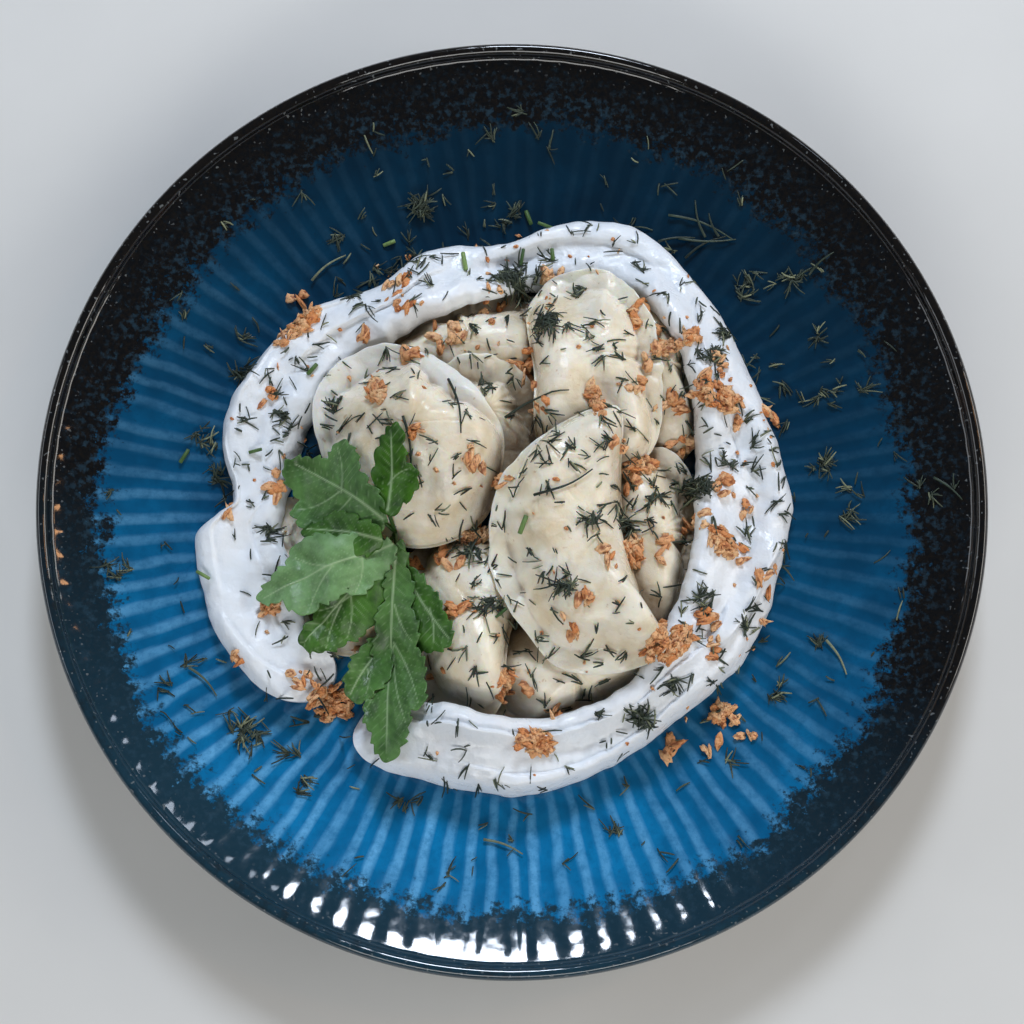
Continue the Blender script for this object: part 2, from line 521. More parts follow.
def reactive_glaze(plate):
    """Reactive glaze on thrown stoneware, fired glossy.

    Blue pools deep in the flutes and thins pale over the ribs; the iron glaze from the lip
    breaks into it in dabs and specks. It mirrors the window sharply.
    """
    material, tree, shader = new_material("Reactive glazed stoneware")
    ridge, reach = attribute(tree, "ridge"), attribute(tree, "reach")
    drift = object_noise(tree, 18 * MM, 3.0, 0.6)
    mottle = object_noise(tree, 3.2 * MM, 4.0, 0.7, (0.3, 0.1, 0.0))
    grain = object_noise(tree, 1.1 * MM, 3.0, 0.7, (0.1, 0.4, 0.0))
    place = add_node(tree, "ShaderNodeTexCoord")
    parts = add_node(tree, "ShaderNodeSeparateXYZ", {"Vector": place.outputs["Object"]})
    east, north = parts.outputs["X"], parts.outputs["Y"]
    pooled = blend(tree, spread(tree, drift, 0.35, 0.65), plate.deep_blue, plate.blue)
    pooled = blend(tree, spread(tree, mottle, 0.45, 0.70, 0.0, 0.55), pooled, plate.deep_blue)
    # Pale streaks over the ribs, broken up by the mottle.
    streak = combine(tree, "MULTIPLY", ridge, spread(tree, mottle, 0.68, 0.40, 0.45, 1.0))
    streak = combine(tree, "MULTIPLY", streak, spread(tree, drift, 0.32, 0.60, 0.60, 1.0))
    # They thin out towards the well, and towards the plate's far right.
    streak = combine(tree, "MULTIPLY", streak, spread(tree, reach, 0.50, 0.72, 0.35, 0.95))
    across = combine(tree, "MULTIPLY", combine(tree, "ADD", east, north), 0.7)
    streak = combine(tree, "MULTIPLY", streak, spread(tree, across, -95 * MM, 80 * MM, 1.0, 0.35))
    blue = blend(tree, streak, pooled, plate.pale_blue)
    blue = blend(tree, spread(tree, grain, 0.55, 0.75, 0.0, 0.35), blue, plate.deep_blue)
    # The glaze ran thicker, and fired darker, towards the far side: 0.93 * (1 - s^1.6), where
    # s falls from 1 at the near edge to 0 at the far one.
    towards = combine(tree, "ADD", combine(tree, "MULTIPLY", east, 0.25),
                      combine(tree, "MULTIPLY", north, 0.97))
    thin = combine(tree, "POWER", spread(tree, towards, 98 * MM, -98 * MM), 1.6)
    blue = blend(tree, spread(tree, thin, 1.0, 0.0, 0.0, 0.93), blue, plate.far_blue)
    # Where reach plus broken noise passes a threshold, the iron glaze begins.
    broken = combine(tree, "ADD", spread(tree, mottle, 0.30, 0.70, -0.034, 0.034),
                     spread(tree, drift, 0.30, 0.70, -0.020, 0.020))
    broken = combine(tree, "ADD", broken, spread(tree, grain, 0.30, 0.70, -0.016, 0.016))
    # It reaches further in on the far side, and is thin and bluer on the near side.
    edge = combine(tree, "ADD", combine(tree, "ADD", reach, broken),
                   spread(tree, towards, -60 * MM, 80 * MM, -0.022, 0.012))
    iron_starts = spread(tree, edge, 0.840, 0.868)
    iron = blend(tree, spread(tree, grain, 0.40, 0.70), plate.iron, plate.iron_brown)
    iron = blend(tree, spread(tree, towards, -25 * MM, -105 * MM, 0.0, 0.75), iron, plate.thin_iron)
    iron = blend(tree, spread(tree, edge, 0.97, 1.02, 0.0, 0.5), iron, plate.iron_brown)
    colour = blend(tree, iron_starts, blue, iron)
    # Small grey-blue dabs where the two glazes meet.
    dabs = spread(tree, object_noise(tree, 2.0 * MM, 3.0, 0.6, (0.7, 0.2, 0.0)), 0.50, 0.68)
    meeting = combine(tree, "MULTIPLY", spread(tree, edge, 0.84, 0.87), spread(tree, edge, 0.98, 0.88))
    dabs = combine(tree, "MULTIPLY", dabs, meeting)
    colour = blend(tree, combine(tree, "MULTIPLY", dabs, 0.60), colour, plate.dab)
    # Pin-head specks near the lip.
    specks = spread(tree, object_noise(tree, 1.0 * MM, 0.0, 0.5, (0.2, 0.9, 0.0)), 0.74, 0.80)
    specks = combine(tree, "MULTIPLY", specks, spread(tree, reach, 0.93, 0.96))
    colour = blend(tree, combine(tree, "MULTIPLY", specks, 0.45), colour, plate.speck)
    tree.links.new(colour, shader.inputs["Base Color"])
    tree.links.new(spread(tree, grain, 0.3, 0.7, 0.05, 0.11), shader.inputs["Roughness"])
    shader.inputs["IOR"].default_value = 1.50
    under = bump(tree, shader, object_noise(tree, 6.0 * MM, 1.0, 0.5, (0.6, 0.6, 0.0)), 0.30 * MM, 0.5)
    bump(tree, shader, grain, 0.01 * MM, 0.4, under)
    return material


def boiled_dough(dough):
    """Boiled wheat dough, wet: milky, lets light a little way in, shiny where water clings."""
    material, tree, shader = new_material("Boiled wheat dough")
    thin = attribute(tree, "thin")
    lumps = object_noise(tree, 12 * MM, 3.0)
    fine = object_noise(tree, 2.4 * MM, 4.0, 0.65)
    grit = object_noise(tree, 0.9 * MM, 3.0, 0.7)
    tint = blend(tree, spread(tree, lumps, 0.38, 0.62), dough.skin, dough.filling)
    tint = blend(tree, spread(tree, fine, 0.50, 0.75, 0.0, 0.35), tint, dough.skin)
    milky = object_noise(tree, 10 * MM, 3.0, 0.6, (0.9, 0.2, 0.4))
    tint = blend(tree, spread(tree, milky, 0.46, 0.68, 0.0, 0.45), tint, dough.edge)
    tint = blend(tree, thin, tint, dough.edge)
    # Faint brown flecks of filling show through.
    fleck = spread(tree, object_noise(tree, 1.6 * MM, 2.0, 0.5, (0.3, 0.3, 0.3)), 0.68, 0.76, 0.0, 0.45)
    tint = blend(tree, fleck, tint, dough.fleck)
    # Browned broth and onion fat have run down into the creases of the pile.
    soaked = combine(tree, "MULTIPLY", attribute(tree, "sunk"), spread(tree, fine, 0.3, 0.6, 0.65, 0.90))
    tint = blend(tree, soaked, tint, dough.broth)
    tree.links.new(tint, shader.inputs["Base Color"])
    wetness = object_noise(tree, 7 * MM, 3.0, 0.6, (0.5, 0.0, 0.0))
    tree.links.new(spread(tree, wetness, 0.38, 0.62, 0.14, 0.36), shader.inputs["Roughness"])
    let_light_in(shader, 1.42, 0.60, (1.0, 0.70, 0.42), 2.6 * MM)
    under = bump(tree, shader, fine, 0.42 * MM, 0.5)
    bump(tree, shader, grit, 0.12 * MM, 0.45, under)
    return material


def sour_cream(cream):
    """Thick sour cream, spooned: smooth, moist and bright, with soft drag lines."""
    material, tree, shader = new_material("Spooned sour cream")
    drift = object_noise(tree, 20 * MM, 2.0)
    tree.links.new(blend(tree, drift, cream.white, cream.cool), shader.inputs["Base Color"])
    moist = object_noise(tree, 6 * MM, 3.0)
    tree.links.new(spread(tree, moist, 0.35, 0.65, 0.22, 0.42), shader.inputs["Roughness"])
    let_light_in(shader, 1.38, 0.25, (1.0, 0.92, 0.85), 1.6 * MM)
    under = bump(tree, shader, object_noise(tree, 4.5 * MM, 3.0, 0.5), 0.9 * MM, 0.7)
    bump(tree, shader, object_noise(tree, 1.2 * MM, 2.0, 0.5), 0.12 * MM, 0.5, under)
    return material


def parsley_leaf(garnish):
    """Flat-leaf parsley: a waxy blade, pale veins, darker in the folds."""
    material, tree, shader = new_material("Parsley blade")
    tone, vein = attribute(tree, "tone"), attribute(tree, "vein")
    patches = object_noise(tree, 5 * MM, 4.0, 0.6)
    green = blend(tree, spread(tree, patches, 0.35, 0.65), garnish.leaf_dark, garnish.leaf)
    green = blend(tree, combine(tree, "MULTIPLY", tone, spread(tree, patches, 0.3, 0.7, 0.45, 0.95)), green,
                  garnish.leaf_pale)
    green = blend(tree, combine(tree, "MULTIPLY", vein, 0.75), green, garnish.vein)
    tree.links.new(green, shader.inputs["Base Color"])
    tree.links.new(spread(tree, patches, 0.3, 0.7, 0.30, 0.48), shader.inputs["Roughness"])
    let_light_in(shader, 1.35, 0.12, (0.4, 1.0, 0.2), 0.8 * MM)
    under = bump(tree, shader, vein, 0.20 * MM, 0.6)
    bump(tree, shader, object_noise(tree, 1.1 * MM, 3.0, 0.6), 0.10 * MM, 0.6, under)
    return material


def fried_onion(garnish):
    """Crisp fried onion: floury crust, browned in its hollows, oily in places."""
    material, tree, shader = new_material("Crisp fried onion")
    tone, hollow = attribute(tree, "tone"), attribute(tree, "hollow")
    grit = object_noise(tree, 0.9 * MM, 4.0, 0.7)
    crust = blend(tree, tone, garnish.onion, garnish.onion_pale)
    crust = blend(tree, spread(tree, grit, 0.50, 0.72, 0.0, 0.6), crust, garnish.onion_brown)
    crust = blend(tree, spread(tree, hollow, 0.45, 0.95, 0.0, 0.85), crust, garnish.onion_brown)
    tree.links.new(crust, shader.inputs["Base Color"])
    tree.links.new(spread(tree, grit, 0.3, 0.7, 0.35, 0.65), shader.inputs["Roughness"])
    let_light_in(shader, 1.45, 0.15, (1.0, 0.5, 0.25), 0.8 * MM)
    bump(tree, shader, grit, 0.45 * MM, 1.0)
    return material


def cut_herb(name, dark, mid, pale):
    """Cut herb, a little dried: dark and dull, with paler cut strands among it."""
    material, tree, shader = new_material(name)
    tone = attribute(tree, "tone")
    shade = blend(tree, spread(tree, tone, 0.0, 0.75), dark, mid)
    shade = blend(tree, spread(tree, tone, 0.80, 1.0), shade, pale)
    shade = blend(tree, spread(tree, object_noise(tree, 1.5 * MM, 2.0), 0.4, 0.7, 0.0, 0.5), shade, dark)
    tree.links.new(shade, shader.inputs["Base Color"])
    shader.inputs["Roughness"].default_value = 0.48
    shader.inputs["IOR"].default_value = 1.42
    return material


# ---------------------------------------------------------------- laying food

def plate_surface(radius):
    """Height of the plate's ridges: flat in the well, then a rising power curve."""
    reach = np.clip((radius - WELL_RADIUS) / (PLATE_RADIUS - WELL_RADIUS), 0.0, 1.0)
    return WELL_TOP + WALL_RISE * reach ** WALL_POWER


class Pile:
    """Height map of the plate and the food laid on it, on a square grid seen from above."""

    def __init__(self):
        axis = np.arange(-MAP_HALF, MAP_HALF + MAP_STEP / 2, MAP_STEP)
        self.count = len(axis)
        self.x, self.y = np.meshgrid(axis, axis, indexing="ij")
        self.height = plate_surface(np.hypot(self.x, self.y))
        self.leafy = np.zeros(self.x.shape, dtype=bool)

    def sample(self, field, x, y):
        """Value of a field between its grid points, blended from the four around it."""
        across = np.clip((x + MAP_HALF) / MAP_STEP, 0, self.count - 1.001)
        along = np.clip((y + MAP_HALF) / MAP_STEP, 0, self.count - 1.001)
        i, j = across.astype(int), along.astype(int)
        u, v = across - i, along - j
        return ((field[i, j] * (1 - u) + field[i + 1, j] * u) * (1 - v)
                + (field[i, j + 1] * (1 - u) + field[i + 1, j + 1] * u) * v)

    def bridged(self, sag, reach=24 * MM):
        """The height that a piece takes: from each support it falls at most as steeply as sag."""
        field = self.height.copy()
        drop = sag * MAP_STEP
        diagonal = math.sqrt(2.0)
        for _ in range(int(reach / MAP_STEP)):
            padded = np.pad(field, 1, mode="edge")
            for across, along, length in ((0, 1, 1), (2, 1, 1), (1, 0, 1), (1, 2, 1), (0, 0, diagonal),
                                          (0, 2, diagonal), (2, 0, diagonal), (2, 2, diagonal)):
                shifted = padded[across:across + self.count, along:along + self.count]
                np.maximum(field, shifted - drop * length, out=field)
        return field

    def even(self, field, spread):
        """Gaussian blur of a field; spread is the standard deviation in metres."""
        wave = np.fft.fftfreq(self.count, MAP_STEP)
        half_wave = np.fft.rfftfreq(self.count, MAP_STEP)
        keep = np.exp(-2.0 * (math.pi * spread) ** 2 * (wave[:, None] ** 2 + half_wave[None, :] ** 2))
        return np.fft.irfft2(np.fft.rfft2(field) * keep, s=field.shape)

    def cells(self, x, y):
        """Index of the nearest grid point."""
        i = np.clip(((x + MAP_HALF) / MAP_STEP).round().astype(int), 0, self.count - 1)
        j = np.clip(((y + MAP_HALF) / MAP_STEP).round().astype(int), 0, self.count - 1)
        return i, j

    def is_leafy(self, x, y):
        """Whether the parsley covers each place."""
        return self.leafy[self.cells(x, y)]

    def heap(self, places, radii, tops):
        """Raise the map to a small domed cap over each place."""
        reach = np.arange(-6, 7)
        ox, oy = (offset.ravel() for offset in np.meshgrid(reach, reach, indexing="ij"))
        i, j = self.cells(places[:, 0], places[:, 1])
        i = np.clip(i[:, None] + ox, 0, self.count - 1)
        j = np.clip(j[:, None] + oy, 0, self.count - 1)
        away = np.hypot(self.x[i, j] - places[:, :1], self.y[i, j] - places[:, 1:]) / radii[:, None]
        domed = np.where(away < 1.0, tops[:, None] - 0.5 * radii[:, None] * away ** 2, 0.0)
        np.maximum.at(self.height, (i, j), domed)


def closed_outline(corners, centre):
    """Radius by direction of the smooth closed curve (Catmull-Rom) through the corners."""
    knots = np.array(corners, dtype=float) * MM
    t = np.linspace(0.0, 1.0, 24, endpoint=False)[:, None]
    before, after, beyond = np.roll(knots, 1, axis=0), np.roll(knots, -1, axis=0), np.roll(knots, -2, axis=0)
    curve = 0.5 * (2 * knots[:, None] + (after - before)[:, None] * t
                   + (2 * before - 5 * knots + 4 * after - beyond)[:, None] * t ** 2
                   + (3 * knots - before - 3 * after + beyond)[:, None] * t ** 3)
    curve = curve.reshape(-1, 2) - np.array(centre)
    angle = np.arctan2(curve[:, 1], curve[:, 0])
    order = np.argsort(angle)
    radius = np.hypot(curve[:, 0], curve[:, 1])

    def radius_at(direction):
        return np.interp(direction, angle[order], radius[order], period=TURN)

    return radius_at


PILE = Pile()


# ---------------------------------------------------------------- plate

def make_plate(settings, material):
    """A turned section swept round, with soft flutes between broad ribs on its upper side.

    At share u of the way from one rib's crest to the next the surface lies depth * sin(pi u)^2
    below the crest. The flutes fade in over the well and end in scallops below the lip.
    """
    generator = np.random.default_rng(5)
    steps = 10
    crests = (np.arange(RIB_COUNT) + generator.uniform(-0.13, 0.13, RIB_COUNT)) * TURN / RIB_COUNT
    width = np.roll(crests, -1) - crests
    width[-1] += TURN
    share = np.arange(steps) / steps
    angle = (crests[:, None] + width[:, None] * share).ravel()
    flute = np.tile(np.sin(math.pi * share) ** 2, RIB_COUNT)
    depth = settings.rib_depth * np.repeat(generator.uniform(0.75, 1.25, RIB_COUNT), steps)
    strength = generator.uniform(0.60, 1.0, RIB_COUNT + 1)
    strength[-1] = strength[0]
    strength = (strength[:-1, None] * (1 - share) + strength[1:, None] * share).ravel()
    inner_lip = PLATE_RADIUS - LIP_WIDTH
    radii = np.concatenate([[0.0, 30 * MM, 50 * MM, 62 * MM], np.linspace(WELL_RADIUS, inner_lip, 60)])
    heights = plate_surface(radii)
    # Lip: half an ellipse over the edge, then the outer wall down to the foot ring.
    arc = np.linspace(0.0, 1.0, 10)[1:] * math.pi * 0.92
    lip_middle = PLATE_RADIUS - 0.5 * LIP_WIDTH
    lip_base = float(plate_surface(inner_lip))
    lip_radii = lip_middle - 0.5 * LIP_WIDTH * np.cos(arc)
    lip_heights = lip_base + (LIP_HEIGHT - lip_base) * np.sin(np.minimum(arc, math.pi / 2))
    falling = arc > math.pi / 2
    lip_heights[falling] = LIP_HEIGHT - 3.2 * MM * (1.0 - np.sin(arc[falling]))
    wall_radii = np.linspace(PLATE_RADIUS - 1.5 * MM, FOOT_OUTER + 3 * MM, 14)
    wall_heights = np.maximum(plate_surface(wall_radii) - PLATE_THICKNESS * 1.10, 2.4 * MM)
    underside = WELL_TOP - PLATE_THICKNESS
    foot = [(FOOT_OUTER + 1.2 * MM, 1.6 * MM), (FOOT_OUTER + 0.3 * MM, 0.5 * MM),
            (FOOT_OUTER - 0.6 * MM, 0.0), (FOOT_INNER + 0.6 * MM, 0.0),
            (FOOT_INNER - 0.3 * MM, 0.5 * MM), (FOOT_INNER - 1.0 * MM, 2.6 * MM),
            (FOOT_INNER - 2.5 * MM, underside), (40 * MM, underside), (0.0, underside)]
    radius = np.concatenate([radii, lip_radii, wall_radii, [r for r, _ in foot]])
    height = np.concatenate([heights, lip_heights, wall_heights, [h for _, h in foot]])
    upper = len(radii)
    carved = np.zeros_like(radius)
    carved[:upper] = (smoothstep(45 * MM, 72 * MM, radii)
                      * (1.0 - 0.45 * smoothstep(100 * MM, 122 * MM, radii))
                      * (1.0 - smoothstep(inner_lip - 3.0 * MM, inner_lip - 0.4 * MM, radii)))
    rings = np.empty((len(radius), len(angle), 3))
    rings[..., 0] = radius[:, None] * np.cos(angle)
    rings[..., 1] = radius[:, None] * np.sin(angle)
    rings[..., 2] = height[:, None] - carved[:, None] * flute * depth
    reach = np.repeat((radius / PLATE_RADIUS)[:, None], len(angle), axis=1)
    reach[upper:] = 1.0
    # The streak wanders a little off the crest, and each is as strong as its glaze was thin.
    x, y = rings[..., 0], rings[..., 1]
    wander = 0.16 * cloud(x, y, 0 * x, 9 * MM, 77, 2)
    phase = np.tile(share, RIB_COUNT)[None, :] + wander
    ridge = smoothstep(0.38, 0.92, 0.5 + 0.5 * np.cos(TURN * phase)) * strength[None, :]
    ridge = np.where(carved[:, None] > 0, ridge, 0.0)
    return put_rings("stoneware_plate", rings, material, {"ridge": ridge, "reach": reach})


# ---------------------------------------------------------------- pierogi

def make_pierogi(name, seed, outline, heading, belly, pile, material):
    """A half moon of dough over the pile.

    The point at direction a and reach q lies q outline radii from the middle. Its height is the
    evened-out pile, plus a thin edge that rounds off as sqrt(1 - q^8), plus the filling's swell
    belly * (1 - i^2.6)^e, where i is the reach within the belly: it stops short of the pinched
    edge by the rim's width, with a slack fillet there and a full round side at the fold. The
    skin carries lumps of three sizes and slack creases that run in from the edge.
    """
    knots = np.array(outline, dtype=float) * MM
    centre = knots.mean(axis=0)
    radius_at = closed_outline(outline, centre)
    facing = math.radians(heading)
    rim_width, paleness = RIMS.get(name, PLAIN_RIM)
    bridged = pile.bridged(DOUGH_SAG)
    smooth = pile.even(bridged, 4.5 * MM)

    def shape(direction, reach):
        outer = radius_at(direction)
        pinched = smoothstep(-0.25, 0.45, np.cos(direction - facing))
        round_x, round_y, flat = np.cos(direction), np.sin(direction), 0 * direction
        wavy = value_noise(round_x * 3 + seed, round_y * 3, flat, seed)
        crimp = value_noise(round_x * 9 + seed, round_y * 9, flat, seed + 3)
        outer = outer * (1.0 + 0.022 * wavy * reach) + 0.40 * MM * crimp * pinched
        x = centre[0] + reach * outer * round_x
        y = centre[1] + reach * outer * round_y
        margin = 0.8 * MM + rim_width * pinched * (1.0 + 0.35 * wavy)
        inside = np.clip(reach * outer / (outer - margin), 0.0, 1.0)
        swell = belly * (1.0 - inside ** 2.6) ** (0.62 + 0.48 * pinched)
        taut = smoothstep(1.0, 0.75, inside)
        lumps = (2.2 * MM * cloud(x, y, flat + 0.01 * seed, 17 * MM, seed + 5, 2)
                 + 0.62 * MM * cloud(x, y, flat, 7.5 * MM, seed + 6, 2)) * taut
        crease = np.abs(value_noise(x / (9 * MM) + 0.5 * y / (9 * MM), y / (4.5 * MM), flat, seed + 11))
        lumps = lumps - 0.16 * MM * smoothstep(0.16, 0.0, crease) * taut
        pleat = 1.0 - np.abs(value_noise(round_x * 5, round_y * 5, inside * 2.0, seed + 9))
        pleats = 0.35 * MM * (pleat - 0.6) * pinched
        pleats = pleats * smoothstep(0.5, 0.9, inside) * smoothstep(1.0, 0.93, reach)
        flap = 0.5 * MM * value_noise(x / (6 * MM), y / (6 * MM), flat, seed + 2)
        flap = flap * smoothstep(0.6, 0.95, inside)
        edge = RIM_THICKNESS * np.sqrt(np.clip(1.0 - reach ** 8, 0.0, 1.0))
        edge = edge * (1.0 + 0.25 * crimp * pinched * smoothstep(0.6, 0.9, reach))
        film = 0.07 * MM * cloud(x, y, flat, 2.2 * MM, seed + 13, 2)
        thin = paleness * pinched * smoothstep(0.90, 1.0, inside + 0.06 * crimp)
        fade = np.sqrt(np.clip(1.0 - reach ** 8, 0.0, 1.0))
        return x, y, edge + swell + (lumps + pleats + flap + film) * fade, thin

    rows, columns = 84, 230
    reach = np.sin(0.5 * math.pi * np.linspace(0.0, 1.0, rows)) ** 0.9
    direction = np.linspace(-math.pi, math.pi, columns, endpoint=False)
    q, a = np.meshgrid(reach, direction, indexing="ij")
    x, y, thickness, thin = shape(a, q)
    rounding = np.sqrt(np.clip(1.0 - q ** 8, 0.0, 1.0))
    floor = pile.sample(bridged, x, y) + REST_GAP
    under = floor + 0.5 * RIM_THICKNESS * (1.0 - rounding)
    over = pile.sample(smooth, x, y) + REST_GAP + thickness
    over = np.maximum(over, under + 0.8 * RIM_THICKNESS * rounding)
    upper = np.stack([x, y, over], axis=-1)
    # The hidden underside needs fewer rings.
    lower = np.stack([x, y, under], axis=-1)[::-1][::3]
    if (rows - 1) % 3:
        lower = np.concatenate([lower, np.stack([x, y, under], axis=-1)[:1]])
    rings = np.concatenate([upper, lower[1:]])
    worn = np.concatenate([thin, np.zeros((len(lower) - 1, columns))])
    thing = put_rings(name + "_dough", rings, material, {"thin": worn})
    # Add the piece to the height map.
    dx, dy = pile.x - centre[0], pile.y - centre[1]
    cell_direction = np.arctan2(dy, dx)
    near = np.hypot(dx, dy) < 60 * MM
    cell_reach = np.hypot(dx, dy)[near] / radius_at(cell_direction[near])
    inside = cell_reach < 1.0
    _, _, cell_thickness, _ = shape(cell_direction[near][inside], cell_reach[inside])
    level = pile.height[near]
    top = smooth[near][inside] + cell_thickness
    top = np.maximum(top, bridged[near][inside] + 0.8 * RIM_THICKNESS) + REST_GAP
    level[inside] = np.maximum(level[inside], top)
    pile.height[near] = level
    return thing


def mark_sunk(thing, pile):
    """Store how far each point lies below the evened-out pile, over a narrow and a wide reach.

    It counts a third as much where the dough meets the cream.
    """
    flat = np.empty(len(thing.data.vertices) * 3)
    thing.data.vertices.foreach_get("co", flat)
    x, y, z = flat.reshape(-1, 3).T
    narrow = smoothstep(0.8 * MM, 4.5 * MM, pile.sample(pile.even(pile.height, 4 * MM), x, y) - z)
    wide = smoothstep(2.0 * MM, 9.0 * MM, pile.sample(pile.even(pile.height, 9 * MM), x, y) - z)
    inward = 0.33 + 0.67 * smoothstep(64 * MM, 50 * MM, np.hypot(x, y))
    sunk = thing.data.attributes.new("sunk", "FLOAT", "POINT")
    sunk.data.foreach_set("value", (inward * np.maximum(narrow, wide)).astype(np.float32))


# ---------------------------------------------------------------- sour cream

def cream_relief(direction, across, width):
    """Height over the pile at a direction and a share from the inner edge (0) to the outer (1).

    A steep-sided, flat-topped band, sqrt(1 - |2 across - 1|^3.4) of its crest, with a spoon's
    trough along its middle and a lip inside its outer edge, long drag lines, and folds. A fold
    is a line across the band: behind it the sheet stands its height proud and thins out over
    11 mm, in front it drops off within 0.7 mm.
    """
    x, y = CREAM_MEAN_RADIUS * np.cos(direction), CREAM_MEAN_RADIUS * np.sin(direction)
    swing = np.sin(3.0 * direction + 0.6)
    crest = CREAM_HEIGHT * (0.92 + 0.16 * swing + 0.08 * np.sin(7.0 * direction))
    shoulder = np.clip(1.0 - np.abs(2.0 * across - 1.0) ** 3.4, 0.0, 1.0) ** 0.5
    depth = 1.5 * MM + 1.7 * MM * value_noise(x / (26 * MM), y / (26 * MM), 0 * x, 12)
    middle = 0.46 + 0.14 * value_noise(x / (30 * MM), y / (30 * MM), 0 * x, 13)
    trough = -depth * np.exp(-((across - middle) / 0.17) ** 2)
    uneven = 1.0 + value_noise(x / (12 * MM), y / (12 * MM), 0 * x, 14)
    lip = 0.8 * MM * np.exp(-((across - 0.86) / 0.08) ** 2) * uneven
    run = direction * CREAM_MEAN_RADIUS
    side = across * width
    drag = np.abs(value_noise(run / (26 * MM), side / (5.0 * MM) + 0.06 * run / MM / 10, 0 * run, 15))
    drag_lines = -0.22 * MM * smoothstep(0.45, 0.0, drag)
    soft = (1.5 * MM * cloud(run, side, 0 * run, 12 * MM, 31, 3)
            + 0.45 * MM * cloud(run, side, 0 * run, 4.5 * MM, 32, 2))
    height = crest * shoulder + (trough + lip + drag_lines + soft) * shoulder
    for start, start_share, end, end_share, step in CREAM_FOLDS:
        ax, ay = math.radians(start) * CREAM_MEAN_RADIUS, start_share * CREAM_MEAN_WIDTH
        bx, by = math.radians(end) * CREAM_MEAN_RADIUS, end_share * CREAM_MEAN_WIDTH
        length = math.hypot(bx - ax, by - ay)
        ux, uy = (bx - ax) / length, (by - ay) / length
        px, py = run - ax, across * CREAM_MEAN_WIDTH - ay
        along = (px * ux + py * uy) / length
        bend = 1.1 * MM * np.sin(along * 5.0 + start)
        behind = ux * py - uy * px + bend
        window = smoothstep(-0.04, 0.12, along) * smoothstep(1.04, 0.88, along)
        back = np.exp(-np.clip(behind, 0, None) / (11 * MM)) * smoothstep(-0.7 * MM, 0.25 * MM, behind)
        height = height + step * window * back * np.minimum(1.0, shoulder * 1.3)
    return height


def make_cream(pile, material):
    """An open ring spooned round the pierogi: a closed skin whose rings cross the band.

    Share t runs round the ring and share v over the top from the inner edge to the outer, at
    (1 - cos(pi v)) / 2 of the width, and back beneath; both open ends round off. Both edges
    wander, the inner one by up to 1.8 mm and the outer one by up to 0.9 mm.
    """
    inner_line = closed_outline(CREAM_INNER, (0.0, 0.0))
    outer_at = closed_outline(CREAM_OUTER, (0.0, 0.0))

    def inner_at(direction):
        near_x, near_y = 60 * MM * np.cos(direction), 60 * MM * np.sin(direction)
        return inner_line(direction) + 1.8 * MM * cloud(near_x, near_y, 0 * direction, 9 * MM, 9, 3)

    bridged = pile.bridged(CREAM_SAG)
    smooth = pile.even(bridged, 2.2 * MM)
    rows, top_columns, under_columns = 900, 78, 14
    along = np.linspace(0.0, 1.0, rows)
    over = np.linspace(0.0, 1.0, top_columns, endpoint=False)
    beneath = np.linspace(1.0, 0.0, under_columns, endpoint=False)
    t, v = np.meshgrid(along, np.concatenate([over, beneath]), indexing="ij")
    on_top = np.arange(top_columns + under_columns)[None, :] < top_columns
    direction = CREAM_START + t * (CREAM_END - CREAM_START)
    taper = np.clip(1.0 - np.abs(2.0 * t - 1.0) ** 40, 0.0, 1.0) ** 0.5
    across = 0.5 - 0.5 * np.cos(math.pi * v) * taper
    inner, outer = inner_at(direction), outer_at(direction)
    far_x, far_y = 90 * MM * np.cos(direction), 90 * MM * np.sin(direction)
    edge_wave = 0.9 * MM * cloud(far_x, far_y, 0 * t, 9 * MM, 8, 3)
    radius = inner + across * (outer + edge_wave - inner)
    x, y = radius * np.cos(direction), radius * np.sin(direction)
    height = cream_relief(direction, across, outer - inner) * taper
    floor = pile.sample(bridged, x, y) + REST_GAP
    top = np.maximum(pile.sample(smooth, x, y) + REST_GAP + height, floor + 0.4 * MM)
    rings = np.stack([x, y, np.where(on_top, top, floor)], axis=-1)
    rings[0] = rings[0].mean(axis=0)
    rings[-1] = rings[-1].mean(axis=0)
    thing = put_rings("spooned_cream", rings, material)
    cell_direction = np.arctan2(pile.y, pile.x)
    cell_radius = np.hypot(pile.x, pile.y)
    inner, outer = inner_at(cell_direction), outer_at(cell_direction)
    unrolled = CREAM_START - np.mod(CREAM_START - cell_direction, TURN)
    covered = (cell_radius > inner) & (cell_radius < outer) & (unrolled > CREAM_END)
    across = np.clip((cell_radius - inner) / (outer - inner), 0.0, 1.0)
    level = np.maximum(smooth + cream_relief(unrolled, across, outer - inner), bridged) + REST_GAP
    pile.height[covered] = np.maximum(pile.height, level)[covered]
    return thing


# ---------------------------------------------------------------- parsley

